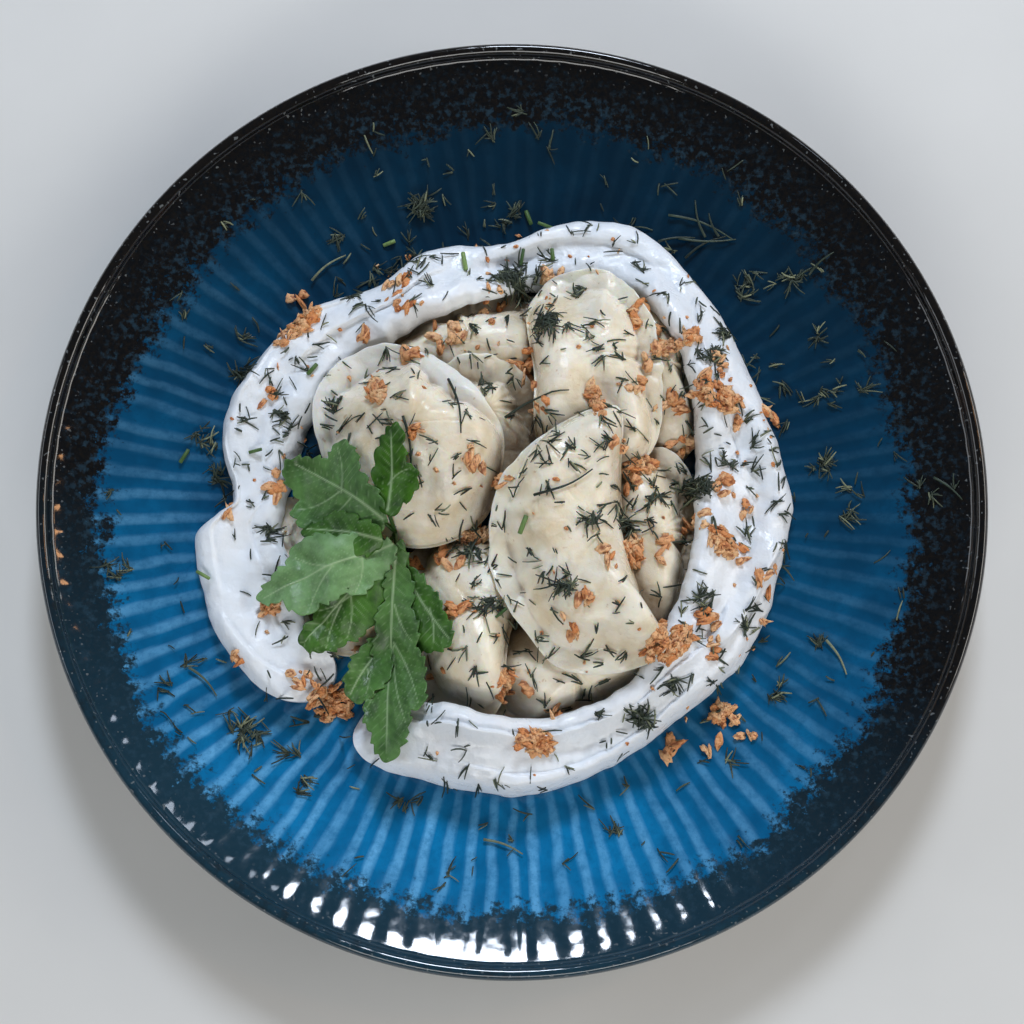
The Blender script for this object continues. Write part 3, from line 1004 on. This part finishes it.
def leaflet_edge(corners):
    """The edge through the corners, each stretch bulging out a tenth of its length, with teeth.

    Teeth are a saw: out by their depth times the share of their pitch, then straight back.
    """
    start = np.array(corners, dtype=float) * MM
    end = np.roll(start, -1, axis=0)
    step = end - start
    length = np.hypot(step[:, 0], step[:, 1])
    area = np.sum(start[:, 0] * end[:, 1] - end[:, 0] * start[:, 1])
    outward = np.stack([step[:, 1], -step[:, 0]], axis=-1) / length[:, None] * np.sign(area)
    share = np.linspace(0.0, 1.0, 24, endpoint=False)[None, :, None]
    saw = np.mod(share * np.round(np.maximum(length / TOOTH_PITCH, 1.0))[:, None, None], 1.0)
    bulge = 0.42 * length[:, None, None] * share * (1.0 - share)
    bulge = bulge + TOOTH_DEPTH * saw * np.sin(math.pi * share) ** 0.5
    return (start[:, None] + step[:, None] * share + outward[:, None] * bulge).reshape(-1, 2)


def nearest_on_edge(px, py, edge):
    """The nearest point of a closed edge to each point, and the signed distance (+ inside)."""
    after = np.roll(edge, -1, axis=0)
    step = after - edge
    dx, dy = px[:, None] - edge[:, 0], py[:, None] - edge[:, 1]
    share = np.clip((dx * step[:, 0] + dy * step[:, 1]) / np.sum(step ** 2, axis=1), 0.0, 1.0)
    off = np.hypot(dx - share * step[:, 0], dy - share * step[:, 1])
    best = off.argmin(axis=1)
    row = np.arange(len(px))
    nearest = edge[best] + share[row, best][:, None] * step[best]
    crosses = (edge[:, 1] > py[:, None]) != (after[:, 1] > py[:, None])
    rise = np.where(step[:, 1] == 0, 1.0, step[:, 1])
    left = px[:, None] < edge[:, 0] + step[:, 0] * (dy / rise)
    inside = np.sum(crosses & left, axis=1) % 2 == 1
    return nearest, np.where(inside, 1.0, -1.0) * off[row, best]


def leaflet_veins(start, corners, tips):
    """Lines from the leaflet's start to its main tip, and from along that line to the others."""
    origin = np.array(start, dtype=float) * MM
    points = np.array([corners[i] for i in tips], dtype=float) * MM
    main = points[0] - origin
    lines = [(origin, origin + 0.96 * main)]
    for tip in points[1:]:
        share = np.clip(0.62 * np.dot(tip - origin, main) / np.dot(main, main), 0.02, 0.8)
        root = origin + share * main
        lines.append((root, root + 0.93 * (tip - root)))
    return lines


def vein_field(x, y, lines):
    """How near each point is to a vein (0..1), with fine ribs slanting off the nearest one."""
    best = np.full(x.shape, 1.0)
    ribs = np.zeros(x.shape)
    veins = np.zeros(x.shape)
    for number, (first, last) in enumerate(lines):
        step = last - first
        length = math.hypot(*step)
        ux, uy = step / length
        along = (x - first[0]) * ux + (y - first[1]) * uy
        aside = -(x - first[0]) * uy + (y - first[1]) * ux
        aside = aside - 0.8 * MM * np.sin(math.pi * np.clip(along / length, 0, 1)) * (1 if number % 2 else -1)
        held = np.clip(along, 0.0, length)
        away = np.hypot(aside, along - held)
        width = (0.32 if number == 0 else 0.22) * MM * (1.15 - 0.75 * held / length)
        veins = np.maximum(veins, np.exp(-(away / width) ** 2) * (1.0 if number == 0 else 0.8))
        closer = away < best
        slant = np.abs(np.mod((along - 0.9 * np.abs(aside)) / (2.3 * MM), 1.0) - 0.5) * 2.0
        ribs = np.where(closer, smoothstep(0.84, 1.0, slant) * smoothstep(7 * MM, 1 * MM, away) * 0.35, ribs)
        best = np.minimum(best, away)
    return np.maximum(veins, ribs), best


def make_parsley(pile, material):
    """One leaf of overlapping leaflets, draped over the pile.

    Each leaflet is a grid of small squares, kept where their middle is inside its edge, whose
    outermost points are moved onto the edge. Its height is the evened-out pile plus its layer,
    a lift of 2.2 mm + 3 mm * exp(-(distance / 15 mm)^2) from the stalk, slow waves of 2.1 mm,
    a swelling of 0.75 mm between veins, and a curl along the edge.
    """
    bridged = pile.bridged(LEAF_SAG)
    smooth = pile.even(bridged, 2.0 * MM)
    stalk = np.array(LEAFLETS[-1]["start"], dtype=float) * MM
    points, faces, veins, tones = [], [], [], []
    count = 0
    for number, leaflet in enumerate(LEAFLETS):
        edge = leaflet_edge(leaflet["corners"])
        low, high = edge.min(axis=0) - LEAF_STEP, edge.max(axis=0) + LEAF_STEP
        gx, gy = np.meshgrid(np.arange(low[0], high[0], LEAF_STEP), np.arange(low[1], high[1], LEAF_STEP),
                             indexing="ij")
        nearest, distance = nearest_on_edge(gx.ravel(), gy.ravel(), edge)
        distance = distance.reshape(gx.shape)
        wide = gx.shape[1]
        corner = np.arange(gx.size).reshape(gx.shape)[:-1, :-1]
        quad = np.stack([corner, corner + wide, corner + wide + 1, corner + 1], axis=-1).reshape(-1, 4)
        quad = quad[distance.ravel()[quad].mean(axis=1) > 0.0]
        used, position = np.unique(quad, return_inverse=True)
        shares = np.bincount(quad.ravel(), minlength=gx.size)[used]
        place = np.stack([gx.ravel()[used], gy.ravel()[used]], axis=-1)
        edging = shares < 4
        place[edging] = nearest[used][edging]
        x, y = place[:, 0], place[:, 1]
        inset = np.clip(distance.ravel()[used], 0.0, None)
        vein, away = vein_field(x, y, leaflet_veins(leaflet["start"], leaflet["corners"], leaflet["tips"]))
        from_stalk = np.hypot(x - stalk[0], y - stalk[1])
        waves = 2.1 * MM * cloud(x, y, 0 * x, 13 * MM, 41 + number, 2)
        swelling = 0.75 * MM * (1.0 - np.exp(-(away / (2.0 * MM)) ** 2))
        curl = 0.8 * MM * np.exp(-inset / (1.2 * MM))
        curl = curl * value_noise(x / (5 * MM), y / (5 * MM), 0 * x, 51 + number)
        lift = leaflet["layer"] + 2.2 * MM + 3.0 * MM * np.exp(-(from_stalk / (15 * MM)) ** 2)
        z = pile.sample(smooth, x, y) + lift + waves + swelling + curl
        z = np.maximum(z, pile.sample(bridged, x, y) + 1.6 * LEAF_THICKNESS + 0.5 * leaflet["layer"])
        points.append(np.stack([x, y, z], axis=-1))
        faces.append(position.reshape(-1, 4) + count)
        veins.append(vein)
        tones.append(np.full(len(x), leaflet["tone"]))
        count += len(x)
    points = np.concatenate(points)
    thing = put_mesh("parsley_leaf", points, [np.concatenate(faces)], material,
                     {"vein": np.concatenate(veins), "tone": np.concatenate(tones)})
    blade = thing.modifiers.new("Blade", "SOLIDIFY")
    blade.thickness = LEAF_THICKNESS
    blade.offset = -1.0
    pile.leafy[pile.cells(points[:, 0], points[:, 1])] = True
    return thing


def make_stalk(pile, material):
    """Short stalks that join the leaflets, as strands between their starts and the leaf's own."""
    root = np.array(STALK_ROOT) * MM
    starts = np.array([leaflet["start"] for leaflet in LEAFLETS[:5]] + [STALK_END], dtype=float) * MM
    share = np.linspace(0.0, 1.0, 6)[None, :, None]
    flat = root + (starts[:, None] - root) * share
    level = pile.sample(pile.even(pile.height, 2.0 * MM), flat[..., 0], flat[..., 1]) + 2.6 * MM
    paths = np.concatenate([flat, level[..., None]], axis=-1)
    radii = np.full(paths.shape[:2], STALK_HALF_WIDTH)
    return put_strands("parsley_stalk", paths, radii, 8, material)


# ---------------------------------------------------------------- fried onion

def clump_lumps(generator, count, centre, length, width, turn, scale):
    """Places, half sizes, turns and pitches of a clump's lumps, thickest at its middle."""
    radius = np.sqrt(generator.uniform(0.0, 1.0, count))
    way = generator.uniform(0.0, TURN, count)
    along, aside = 0.42 * length * radius * np.cos(way), 0.40 * width * radius * np.sin(way)
    c, s = math.cos(math.radians(turn)), math.sin(math.radians(turn))
    places = np.stack([centre[0] + along * c - aside * s, centre[1] + along * s + aside * c], axis=-1) * MM
    half = generator.uniform(0.7, 1.7, (count, 3)) * np.array([1.70, 0.85, 0.55]) * scale * MM
    yaw = math.radians(turn) + generator.normal(0.0, 0.7, count)
    pitch = generator.normal(0.0, 0.28, count)
    heap = (1.0 - radius) * generator.uniform(0.2, 1.0, count) * 2.2 * MM * scale
    return places, half, yaw, pitch, heap


def make_onion_clump(name, number, clump, pile, material):
    """A clump of fried onion: crusty lumps heaped over an ellipse."""
    x, y, length, width, turn = clump
    generator = np.random.default_rng(100 + number)
    count = int(round(8 + 0.26 * length * width))
    places, half, yaw, pitch, heap = clump_lumps(generator, count, (x, y), length, width, turn, 0.85)
    level = pile.sample(pile.even(pile.height, 1.0 * MM), places[:, 0], places[:, 1])
    centres = np.concatenate([places, (level + 0.35 * half[:, 2] + heap)[:, None]], axis=-1)
    pile.heap(places, half[:, 1] * 1.1, centres[:, 2] + 0.8 * half[:, 2])
    return put_lumps(name + "_clump", centres, half, yaw, pitch, 200 + number, material,
                     rows=13, columns=20, rough=0.65)


def make_crumbs(pile, material):
    """Loose crumbs of fried onion: small heaps, and single crumbs strewn over the food."""
    generator = np.random.default_rng(7)
    places, half, yaw, pitch = [], [], [], []
    for x, y, count in CRUMB_HEAPS:
        spread_mm = 1.5 + 0.55 * count
        parts = clump_lumps(generator, count, (x, y), spread_mm * 2.2, spread_mm * 1.6,
                            generator.uniform(0.0, 180.0), generator.uniform(0.75, 1.15))
        for store, part in zip((places, half, yaw, pitch), parts):
            store.append(part)
    radius = STREWN_CRUMBS_RADIUS * np.sqrt(generator.uniform(0.0, 1.0, STREWN_CRUMBS))
    way = generator.uniform(0.0, TURN, STREWN_CRUMBS)
    places.append(np.stack([radius * np.cos(way), radius * np.sin(way)], axis=-1))
    half.append(generator.uniform(0.25, 0.70, (STREWN_CRUMBS, 3)) * np.array([1.6, 0.9, 0.6]) * MM)
    yaw.append(generator.uniform(0.0, TURN, STREWN_CRUMBS))
    pitch.append(generator.normal(0.0, 0.3, STREWN_CRUMBS))
    places, half, yaw, pitch = (np.concatenate(part) for part in (places, half, yaw, pitch))
    keep = ~pile.is_leafy(places[:, 0], places[:, 1])
    places, half, yaw, pitch = places[keep], half[keep], yaw[keep], pitch[keep]
    level = pile.sample(pile.even(pile.height, 0.7 * MM), places[:, 0], places[:, 1])
    centres = np.concatenate([places, (level + 0.45 * half[:, 2])[:, None]], axis=-1)
    pile.heap(places, half[:, 1], centres[:, 2] + 0.7 * half[:, 2])
    return put_lumps("onion_crumbs", centres, half, yaw, pitch, 300, material, rows=8, columns=12, rough=0.62)


# ---------------------------------------------------------------- herbs

def strewn_needles(generator, settings):
    """Feet, ways and lengths of cut dill: thick clumps, then small fans strewn over the plate.

    A fan is one to five needles that leave one foot, most within a seventh of a turn.
    """
    feet, ways, heights = [], [], []
    for x, y, wide, count in DILL_CLUMPS:
        count = int(count * settings.dill_amount)
        fans = max(2, count // 5)
        radius = wide * MM * np.abs(generator.normal(0.0, 0.55, fans))
        way = generator.uniform(0.0, TURN, fans)
        fan_x, fan_y = x * MM + radius * np.cos(way), y * MM + radius * np.sin(way)
        pick = generator.integers(0, fans, count)
        place = np.stack([fan_x[pick], fan_y[pick]], axis=-1)
        feet.append(place + generator.normal(0.0, 0.35 * MM, place.shape))
        heading = generator.uniform(0.0, TURN, fans)
        ways.append(heading[pick] + generator.normal(0.0, 0.7, count))
        dense = np.clip(count / (wide * wide), 0.0, 4.0)
        heights.append(generator.uniform(0.0, 1.0, count) * dense * 0.55 * MM)
    for fans, inner, outer in DILL_FANS:
        fans = int(fans * settings.dill_amount)
        radius = np.sqrt(generator.uniform(inner ** 2, outer ** 2, fans))
        way = generator.uniform(0.0, TURN, fans)
        heading = generator.uniform(0.0, TURN, fans)
        needles = generator.choice(list(FAN_NEEDLES), fans, p=list(FAN_NEEDLES.values()))
        pick = np.repeat(np.arange(fans), needles)
        place = np.stack([radius * np.cos(way), radius * np.sin(way)], axis=-1)[pick]
        feet.append(place + generator.normal(0.0, 0.30 * MM, place.shape))
        ways.append(heading[pick] + generator.normal(0.0, 0.45, len(pick)))
        heights.append(generator.uniform(0.0, 0.5 * MM, len(pick)))
    return np.concatenate(feet), np.concatenate(ways), np.concatenate(heights)


def make_dill(settings, pile, material):
    """Cut dill: needles 1.6 to 5.8 mm long, a little bent, lying on whatever is beneath.

    Both ends and the middle take the height of the pile under them, and no needle dips below
    the line between its ends.
    """
    generator = np.random.default_rng(9)
    feet, ways, heights = strewn_needles(generator, settings)
    keep = ~pile.is_leafy(feet[:, 0], feet[:, 1])
    feet, ways, heights = feet[keep], ways[keep], heights[keep]
    count = len(feet)
    length = generator.gamma(5.0, 0.66, count).clip(1.6, 5.8) * MM
    bend = generator.normal(0.0, 0.045, count) * length
    share = np.linspace(0.0, 1.0, 4)[None, :]
    along = length[:, None] * (share - generator.uniform(0.0, 0.22, count)[:, None])
    aside = 4.0 * bend[:, None] * share * (1.0 - share)
    c, s = np.cos(ways)[:, None], np.sin(ways)[:, None]
    x = feet[:, :1] + along * c - aside * s
    y = feet[:, 1:] + along * s + aside * c
    half_width = generator.uniform(0.17, 0.29, count) * MM
    level = pile.sample(pile.even(pile.height, 0.5 * MM), x, y)
    level = np.maximum(level, level[:, :1] * (1 - share) + level[:, -1:] * share)
    spring = np.abs(generator.normal(0.0, 0.35 * MM, count))[:, None] * share
    z = level + (0.85 * half_width + heights)[:, None] + spring
    radii = half_width[:, None] * np.array([0.80, 1.0, 0.95, 0.60])[None, :]
    return put_strands("cut_dill", np.stack([x, y, z], axis=-1), radii, 4, material, 17)


def make_chives(pile, material):
    """Cut chive: straight round pieces about 5 mm long."""
    generator = np.random.default_rng(3)
    x, y, turn = np.array(CHIVES, dtype=float).T
    length = generator.uniform(3.6, 6.0, len(x)) * MM
    share = np.array([-0.5, -0.47, 0.0, 0.47, 0.5])[None, :]
    c, s = np.cos(np.radians(turn))[:, None], np.sin(np.radians(turn))[:, None]
    px = x[:, None] * MM + length[:, None] * share * c
    py = y[:, None] * MM + length[:, None] * share * s
    half_width = generator.uniform(0.42, 0.68, len(x)) * MM
    level = pile.sample(pile.even(pile.height, 0.8 * MM), px, py).max(axis=1, keepdims=True)
    tilt = generator.normal(0.0, 0.08, len(x))[:, None] * length[:, None] * share
    pz = level + 0.9 * half_width[:, None] + tilt
    radii = half_width[:, None] * np.array([0.80, 1.0, 1.05, 1.0, 0.80])[None, :]
    return put_strands("chive_pieces", np.stack([px, py, pz], axis=-1), radii, 10, material, 4)


def make_stems(pile, material):
    """Dill stems: thin strands bent by a sine along their length."""
    share = np.linspace(0.0, 1.0, 9)[None, :]
    start = np.array([stem[0] for stem in DILL_STEMS], dtype=float) * MM
    end = np.array([stem[1] for stem in DILL_STEMS], dtype=float) * MM
    bend = np.array([stem[2] for stem in DILL_STEMS])[:, None] * MM
    step = end - start
    length = np.hypot(step[:, 0], step[:, 1])[:, None]
    off = bend * np.sin(math.pi * share)
    x = start[:, :1] + step[:, :1] * share - step[:, 1:] / length * off
    y = start[:, 1:] + step[:, 1:] * share + step[:, :1] / length * off
    level = pile.sample(pile.even(pile.height, 1.2 * MM), x, y)
    level = np.maximum(level, level[:, :1] * (1 - share) + level[:, -1:] * share)
    radii = 0.42 * MM * (1.0 - 0.55 * share) + 0 * x
    paths = np.stack([x, y, level + radii + 0.5 * MM], axis=-1)
    return put_strands("dill_stems", paths, radii, 6, material, 5)


# ---------------------------------------------------------------- settings

def colour_setting(name, description, code):
    """A colour that a user can change."""
    return bpy.props.FloatVectorProperty(name=name, description=description, default=srgb(code), size=4,
                                         subtype="COLOR", min=0.0, max=1.0)


class PlateSettings(bpy.types.PropertyGroup):
    """The plate's ribs and glaze"""
    rib_depth: bpy.props.FloatProperty(
        name="Rib depth", description="How deep the flutes between the ribs are", default=0.38 * MM,
        unit="LENGTH")
    deep_blue: colour_setting("Deep blue", "Glaze pooled in the flutes", "#035c8c")
    blue: colour_setting("Blue", "Glaze on the open wall", "#0a78b0")
    pale_blue: colour_setting("Pale blue", "Thin glaze over a rib", "#68b0df")
    far_blue: colour_setting("Far blue", "Thick glaze on the far side", "#02141f")
    iron: colour_setting("Iron black", "Iron glaze of the border", "#080b0f")
    iron_brown: colour_setting("Iron brown", "Iron glaze where it is thin", "#17130f")
    thin_iron: colour_setting("Thin iron", "Iron glaze that lets the blue through", "#1d3f50")
    dab: colour_setting("Dab", "Dabs where the glazes meet", "#2c4758")
    speck: colour_setting("Speck", "Specks near the lip", "#8a8f90")


class DoughSettings(bpy.types.PropertyGroup):
    """The pierogi's colours"""
    skin: colour_setting("Skin", "Boiled dough", "#f7eed9")
    filling: colour_setting("Filling", "Dough tight over filling", "#e3d4b5")
    edge: colour_setting("Edge", "Pinched edge and milky patches", "#f5f2ea")
    fleck: colour_setting("Fleck", "Filling that shows through", "#b98a5c")
    broth: colour_setting("Broth", "Browned broth in the creases", "#9a8468")


class CreamSettings(bpy.types.PropertyGroup):
    """The sour cream's colours"""
    white: colour_setting("White", "Sour cream", "#f2f4f6")
    cool: colour_setting("Cool white", "Sour cream where it is thinner", "#e4edf6")


class GarnishSettings(bpy.types.PropertyGroup):
    """Colours and amounts of the toppings"""
    leaf: colour_setting("Leaf", "Parsley", "#41701a")
    leaf_dark: colour_setting("Dark leaf", "Parsley in its folds", "#20440a")
    leaf_pale: colour_setting("Pale leaf", "Parsley that faces the light", "#86ac7a")
    vein: colour_setting("Vein", "Parsley's veins", "#b0c89c")
    onion: colour_setting("Onion", "Fried onion", "#de8e50")
    onion_pale: colour_setting("Pale onion", "Fried onion with more flour", "#f9ca98")
    onion_brown: colour_setting("Brown onion", "Onion fried darker", "#8a4320")
    dill: colour_setting("Dill", "Cut dill", "#465143")
    dill_dark: colour_setting("Dark dill", "Dried dill", "#202a23")
    dill_pale: colour_setting("Pale dill", "Dill's cut strands", "#8f9474")
    chive: colour_setting("Chive", "Cut chive", "#55733a")
    chive_dark: colour_setting("Dark chive", "Chive, older", "#2e4d24")
    chive_pale: colour_setting("Pale chive", "Chive's cut ends", "#8ba863")
    stem: colour_setting("Stem", "Dill stems", "#39473a")
    dill_amount: bpy.props.FloatProperty(
        name="Dill", description="Share of the full amount of dill", default=1.0, min=0.0, max=1.5,
        subtype="FACTOR")


class StageSettings(bpy.types.PropertyGroup):
    """Light and camera"""
    window_power: bpy.props.FloatProperty(
        name="Window", description="Strength of the window's light", default=11.0, unit="POWER")
    fill_power: bpy.props.FloatProperty(
        name="Fill", description="Strength of the soft light from the right and the front", default=7.0,
        unit="POWER")
    camera_distance: bpy.props.FloatProperty(
        name="Camera distance", description="From the camera to the food", default=0.4445, unit="LENGTH")
    camera_elevation: bpy.props.FloatProperty(
        name="Camera elevation", description="How steeply the camera looks down", default=math.radians(80.0),
        subtype="ANGLE")


# ---------------------------------------------------------------- stage

CAMERA_LENS = 55.4
CAMERA_TARGET = (0.0, -7.1 * MM, 26 * MM)
SKY_STRENGTH = 0.13


def area_light(name, azimuth, elevation, distance, size, power, colour):
    """A rectangular light that faces the plate from a direction, in degrees, and a distance."""
    a, e = math.radians(azimuth), math.radians(elevation)
    away = Vector((math.cos(a) * math.cos(e), math.sin(a) * math.cos(e), math.sin(e)))
    data = bpy.data.lights.new(name, "AREA")
    data.shape = "RECTANGLE"
    data.size, data.size_y = size
    data.energy = power
    data.color = srgb(colour)[:3]
    light = bpy.data.objects.new(name, data)
    light.location = away * distance
    light.rotation_euler = (-away).to_track_quat("-Z", "Y").to_euler()
    bpy.context.scene.collection.objects.link(light)


def make_stage(scene, settings):
    """A pale floor, a window on the far side, soft light from three sides, a lamp and a low sky."""
    half, below = 2.0, 0.4 * MM
    points = np.array([(-half, -half, -below), (half, -half, -below),
                       (half, half, -below), (-half, half, -below)])
    material, tree, shader = new_material("Pale painted board")
    grain = object_noise(tree, 40 * MM, 3.0)
    tree.links.new(blend(tree, grain, srgb("#d3d3d0"), srgb("#dadad7")), shader.inputs["Base Color"])
    shader.inputs["Roughness"].default_value = 0.8
    put_mesh("floor", points, [np.array([[0, 1, 2, 3]])], material)
    window, fill = settings.window_power, settings.fill_power
    for light in (("window", 86, 42, 1.3, (0.27, 0.26), window, "#e4efff"),
                  ("side_window", 56, 42, 1.4, (0.10, 0.16), 0.05 * window, "#e0edff"),
                  ("right_fill", 5, 26, 1.4, (0.9, 0.4), fill, "#fffaf4"),
                  ("left_fill", 175, 26, 1.4, (0.9, 0.4), 0.5 * fill, "#f4f8ff"),
                  ("front_fill", 270, 32, 1.4, (1.1, 0.4), 1.35 * fill, "#fbfaf8"),
                  ("lamp", 23, 48, 1.4, (0.10, 0.10), 0.07 * fill, "#ffbe86")):
        area_light(*light)
    world = bpy.data.worlds.new("studio")
    scene.world = world
    world.use_nodes = True
    background = world.node_tree.nodes["Background"]
    background.inputs["Color"].default_value = srgb("#c4ccd6")
    background.inputs["Strength"].default_value = SKY_STRENGTH
    scene.view_settings.view_transform = "Standard"
    camera_data = bpy.data.cameras.new("camera")
    camera_data.lens = CAMERA_LENS
    camera_data.clip_start = 0.01
    camera = bpy.data.objects.new("camera", camera_data)
    target = Vector(CAMERA_TARGET)
    elevation = settings.camera_elevation
    back = Vector((0.0, -math.cos(elevation), math.sin(elevation)))
    camera.location = target + settings.camera_distance * back
    camera.rotation_euler = (-back).to_track_quat("-Z", "Y").to_euler()
    scene.collection.objects.link(camera)
    scene.camera = camera


# ---------------------------------------------------------------- operators

class PIEROGI_OT_plate(bpy.types.Operator):
    """Turn the stoneware plate and glaze it"""
    bl_idname = "pierogi.plate"
    bl_label = "Plate"

    def execute(self, context):
        settings = context.scene.pierogi_plate
        register_piece(make_plate(settings, reactive_glaze(settings)), "glaze", "plate")
        return {"FINISHED"}


def lay_pierogi(context, shapes, first_seed):
    """Lay each shape of dough on what is there already."""
    dough = bpy.data.materials.get("Boiled wheat dough") or boiled_dough(context.scene.pierogi_dough)
    for number, (name, shape) in enumerate(shapes.items()):
        thing = make_pierogi(name, first_seed + number, pile=PILE, material=dough, **shape)
        register_piece(thing, "dough", name)


class PIEROGI_OT_lower(bpy.types.Operator):
    """Lay the pierogi that lie on the plate"""
    bl_idname = "pierogi.lower"
    bl_label = "Lower pierogi"

    def execute(self, context):
        lay_pierogi(context, LOWER_PIEROGI, 11)
        return {"FINISHED"}


class PIEROGI_OT_cream(bpy.types.Operator):
    """Spoon the ring of sour cream"""
    bl_idname = "pierogi.cream"
    bl_label = "Sour cream"

    def execute(self, context):
        register_piece(make_cream(PILE, sour_cream(context.scene.pierogi_cream)), "sour_cream", "sour_cream")
        return {"FINISHED"}


class PIEROGI_OT_upper(bpy.types.Operator):
    """Lay the pierogi that lie on others"""
    bl_idname = "pierogi.upper"
    bl_label = "Upper pierogi"

    def execute(self, context):
        lay_pierogi(context, UPPER_PIEROGI, 31)
        for name in (*LOWER_PIEROGI, *UPPER_PIEROGI):
            mark_sunk(bpy.data.objects[name + "_dough"], PILE)
        return {"FINISHED"}


class PIEROGI_OT_parsley(bpy.types.Operator):
    """Drape the parsley leaf and join its stalks"""
    bl_idname = "pierogi.parsley"
    bl_label = "Parsley"

    def execute(self, context):
        material = parsley_leaf(context.scene.pierogi_garnish)
        garnish = context.scene.pierogi_garnish
        register_piece(make_parsley(PILE, material), "herb", "parsley")
        stalk = cut_herb("Parsley stalk", garnish.leaf_dark, garnish.leaf, garnish.vein)
        register_piece(make_stalk(PILE, stalk), "herb")
        return {"FINISHED"}


class PIEROGI_OT_onion(bpy.types.Operator):
    """Heap the clumps of fried onion"""
    bl_idname = "pierogi.onion"
    bl_label = "Fried onion"

    def execute(self, context):
        material = fried_onion(context.scene.pierogi_garnish)
        for number, (name, clump) in enumerate(ONION_CLUMPS.items()):
            register_piece(make_onion_clump(name, number, clump, PILE, material), "fried_onion", name)
        return {"FINISHED"}


class PIEROGI_OT_crumbs(bpy.types.Operator):
    """Strew the crumbs of fried onion"""
    bl_idname = "pierogi.crumbs"
    bl_label = "Onion crumbs"

    def execute(self, context):
        register_piece(make_crumbs(PILE, bpy.data.materials["Crisp fried onion"]), "fried_onion")
        return {"FINISHED"}


class PIEROGI_OT_dill(bpy.types.Operator):
    """Strew the cut dill and its stems"""
    bl_idname = "pierogi.dill"
    bl_label = "Dill"

    def execute(self, context):
        garnish = context.scene.pierogi_garnish
        needles = cut_herb("Cut dill", garnish.dill_dark, garnish.dill, garnish.dill_pale)
        register_piece(make_dill(garnish, PILE, needles), "herb")
        stems = cut_herb("Dill stem", garnish.dill_dark, garnish.stem, garnish.dill_pale)
        register_piece(make_stems(PILE, stems), "herb")
        return {"FINISHED"}


class PIEROGI_OT_chives(bpy.types.Operator):
    """Strew the pieces of chive"""
    bl_idname = "pierogi.chives"
    bl_label = "Chives"

    def execute(self, context):
        garnish = context.scene.pierogi_garnish
        chive = cut_herb("Cut chive", garnish.chive_dark, garnish.chive, garnish.chive_pale)
        register_piece(make_chives(PILE, chive), "herb")
        return {"FINISHED"}


class PIEROGI_OT_stage(bpy.types.Operator):
    """Set the floor, the lights and the camera"""
    bl_idname = "pierogi.stage"
    bl_label = "Stage"

    def execute(self, context):
        make_stage(context.scene, context.scene.pierogi_stage)
        return {"FINISHED"}


OPERATORS = (PIEROGI_OT_plate, PIEROGI_OT_lower, PIEROGI_OT_cream, PIEROGI_OT_upper, PIEROGI_OT_parsley,
             PIEROGI_OT_onion, PIEROGI_OT_crumbs, PIEROGI_OT_dill, PIEROGI_OT_chives, PIEROGI_OT_stage)
SETTINGS = {"pierogi_plate": PlateSettings, "pierogi_dough": DoughSettings, "pierogi_cream": CreamSettings,
            "pierogi_garnish": GarnishSettings, "pierogi_stage": StageSettings}


class PIEROGI_PT_panel(bpy.types.Panel):
    """Settings and pieces, in the order of laying"""
    bl_label = "Pierogi plate"
    bl_idname = "PIEROGI_PT_panel"
    bl_space_type = "VIEW_3D"
    bl_region_type = "UI"
    bl_category = "Pierogi"

    def draw(self, context):
        for label, group in SETTINGS.items():
            box = self.layout.box()
            for setting in group.__annotations__:
                box.prop(getattr(context.scene, label), setting)
        for operator in OPERATORS:
            self.layout.operator(operator.bl_idname)


CLASSES = (*SETTINGS.values(), *OPERATORS, PIEROGI_PT_panel)


def register():
    for entry in CLASSES:
        bpy.utils.register_class(entry)
    for label, group in SETTINGS.items():
        setattr(bpy.types.Scene, label, bpy.props.PointerProperty(type=group))


def unregister():
    for label in SETTINGS:
        delattr(bpy.types.Scene, label)
    for entry in reversed(CLASSES):
        bpy.utils.unregister_class(entry)


def main():
    register()
    bpy.ops.pierogi.plate()
    bpy.ops.pierogi.lower()
    bpy.ops.pierogi.cream()
    bpy.ops.pierogi.upper()
    bpy.ops.pierogi.parsley()
    bpy.ops.pierogi.onion()
    bpy.ops.pierogi.crumbs()
    bpy.ops.pierogi.dill()
    bpy.ops.pierogi.chives()
    bpy.ops.pierogi.stage()
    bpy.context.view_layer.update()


if __name__ == "__main__":
    main()
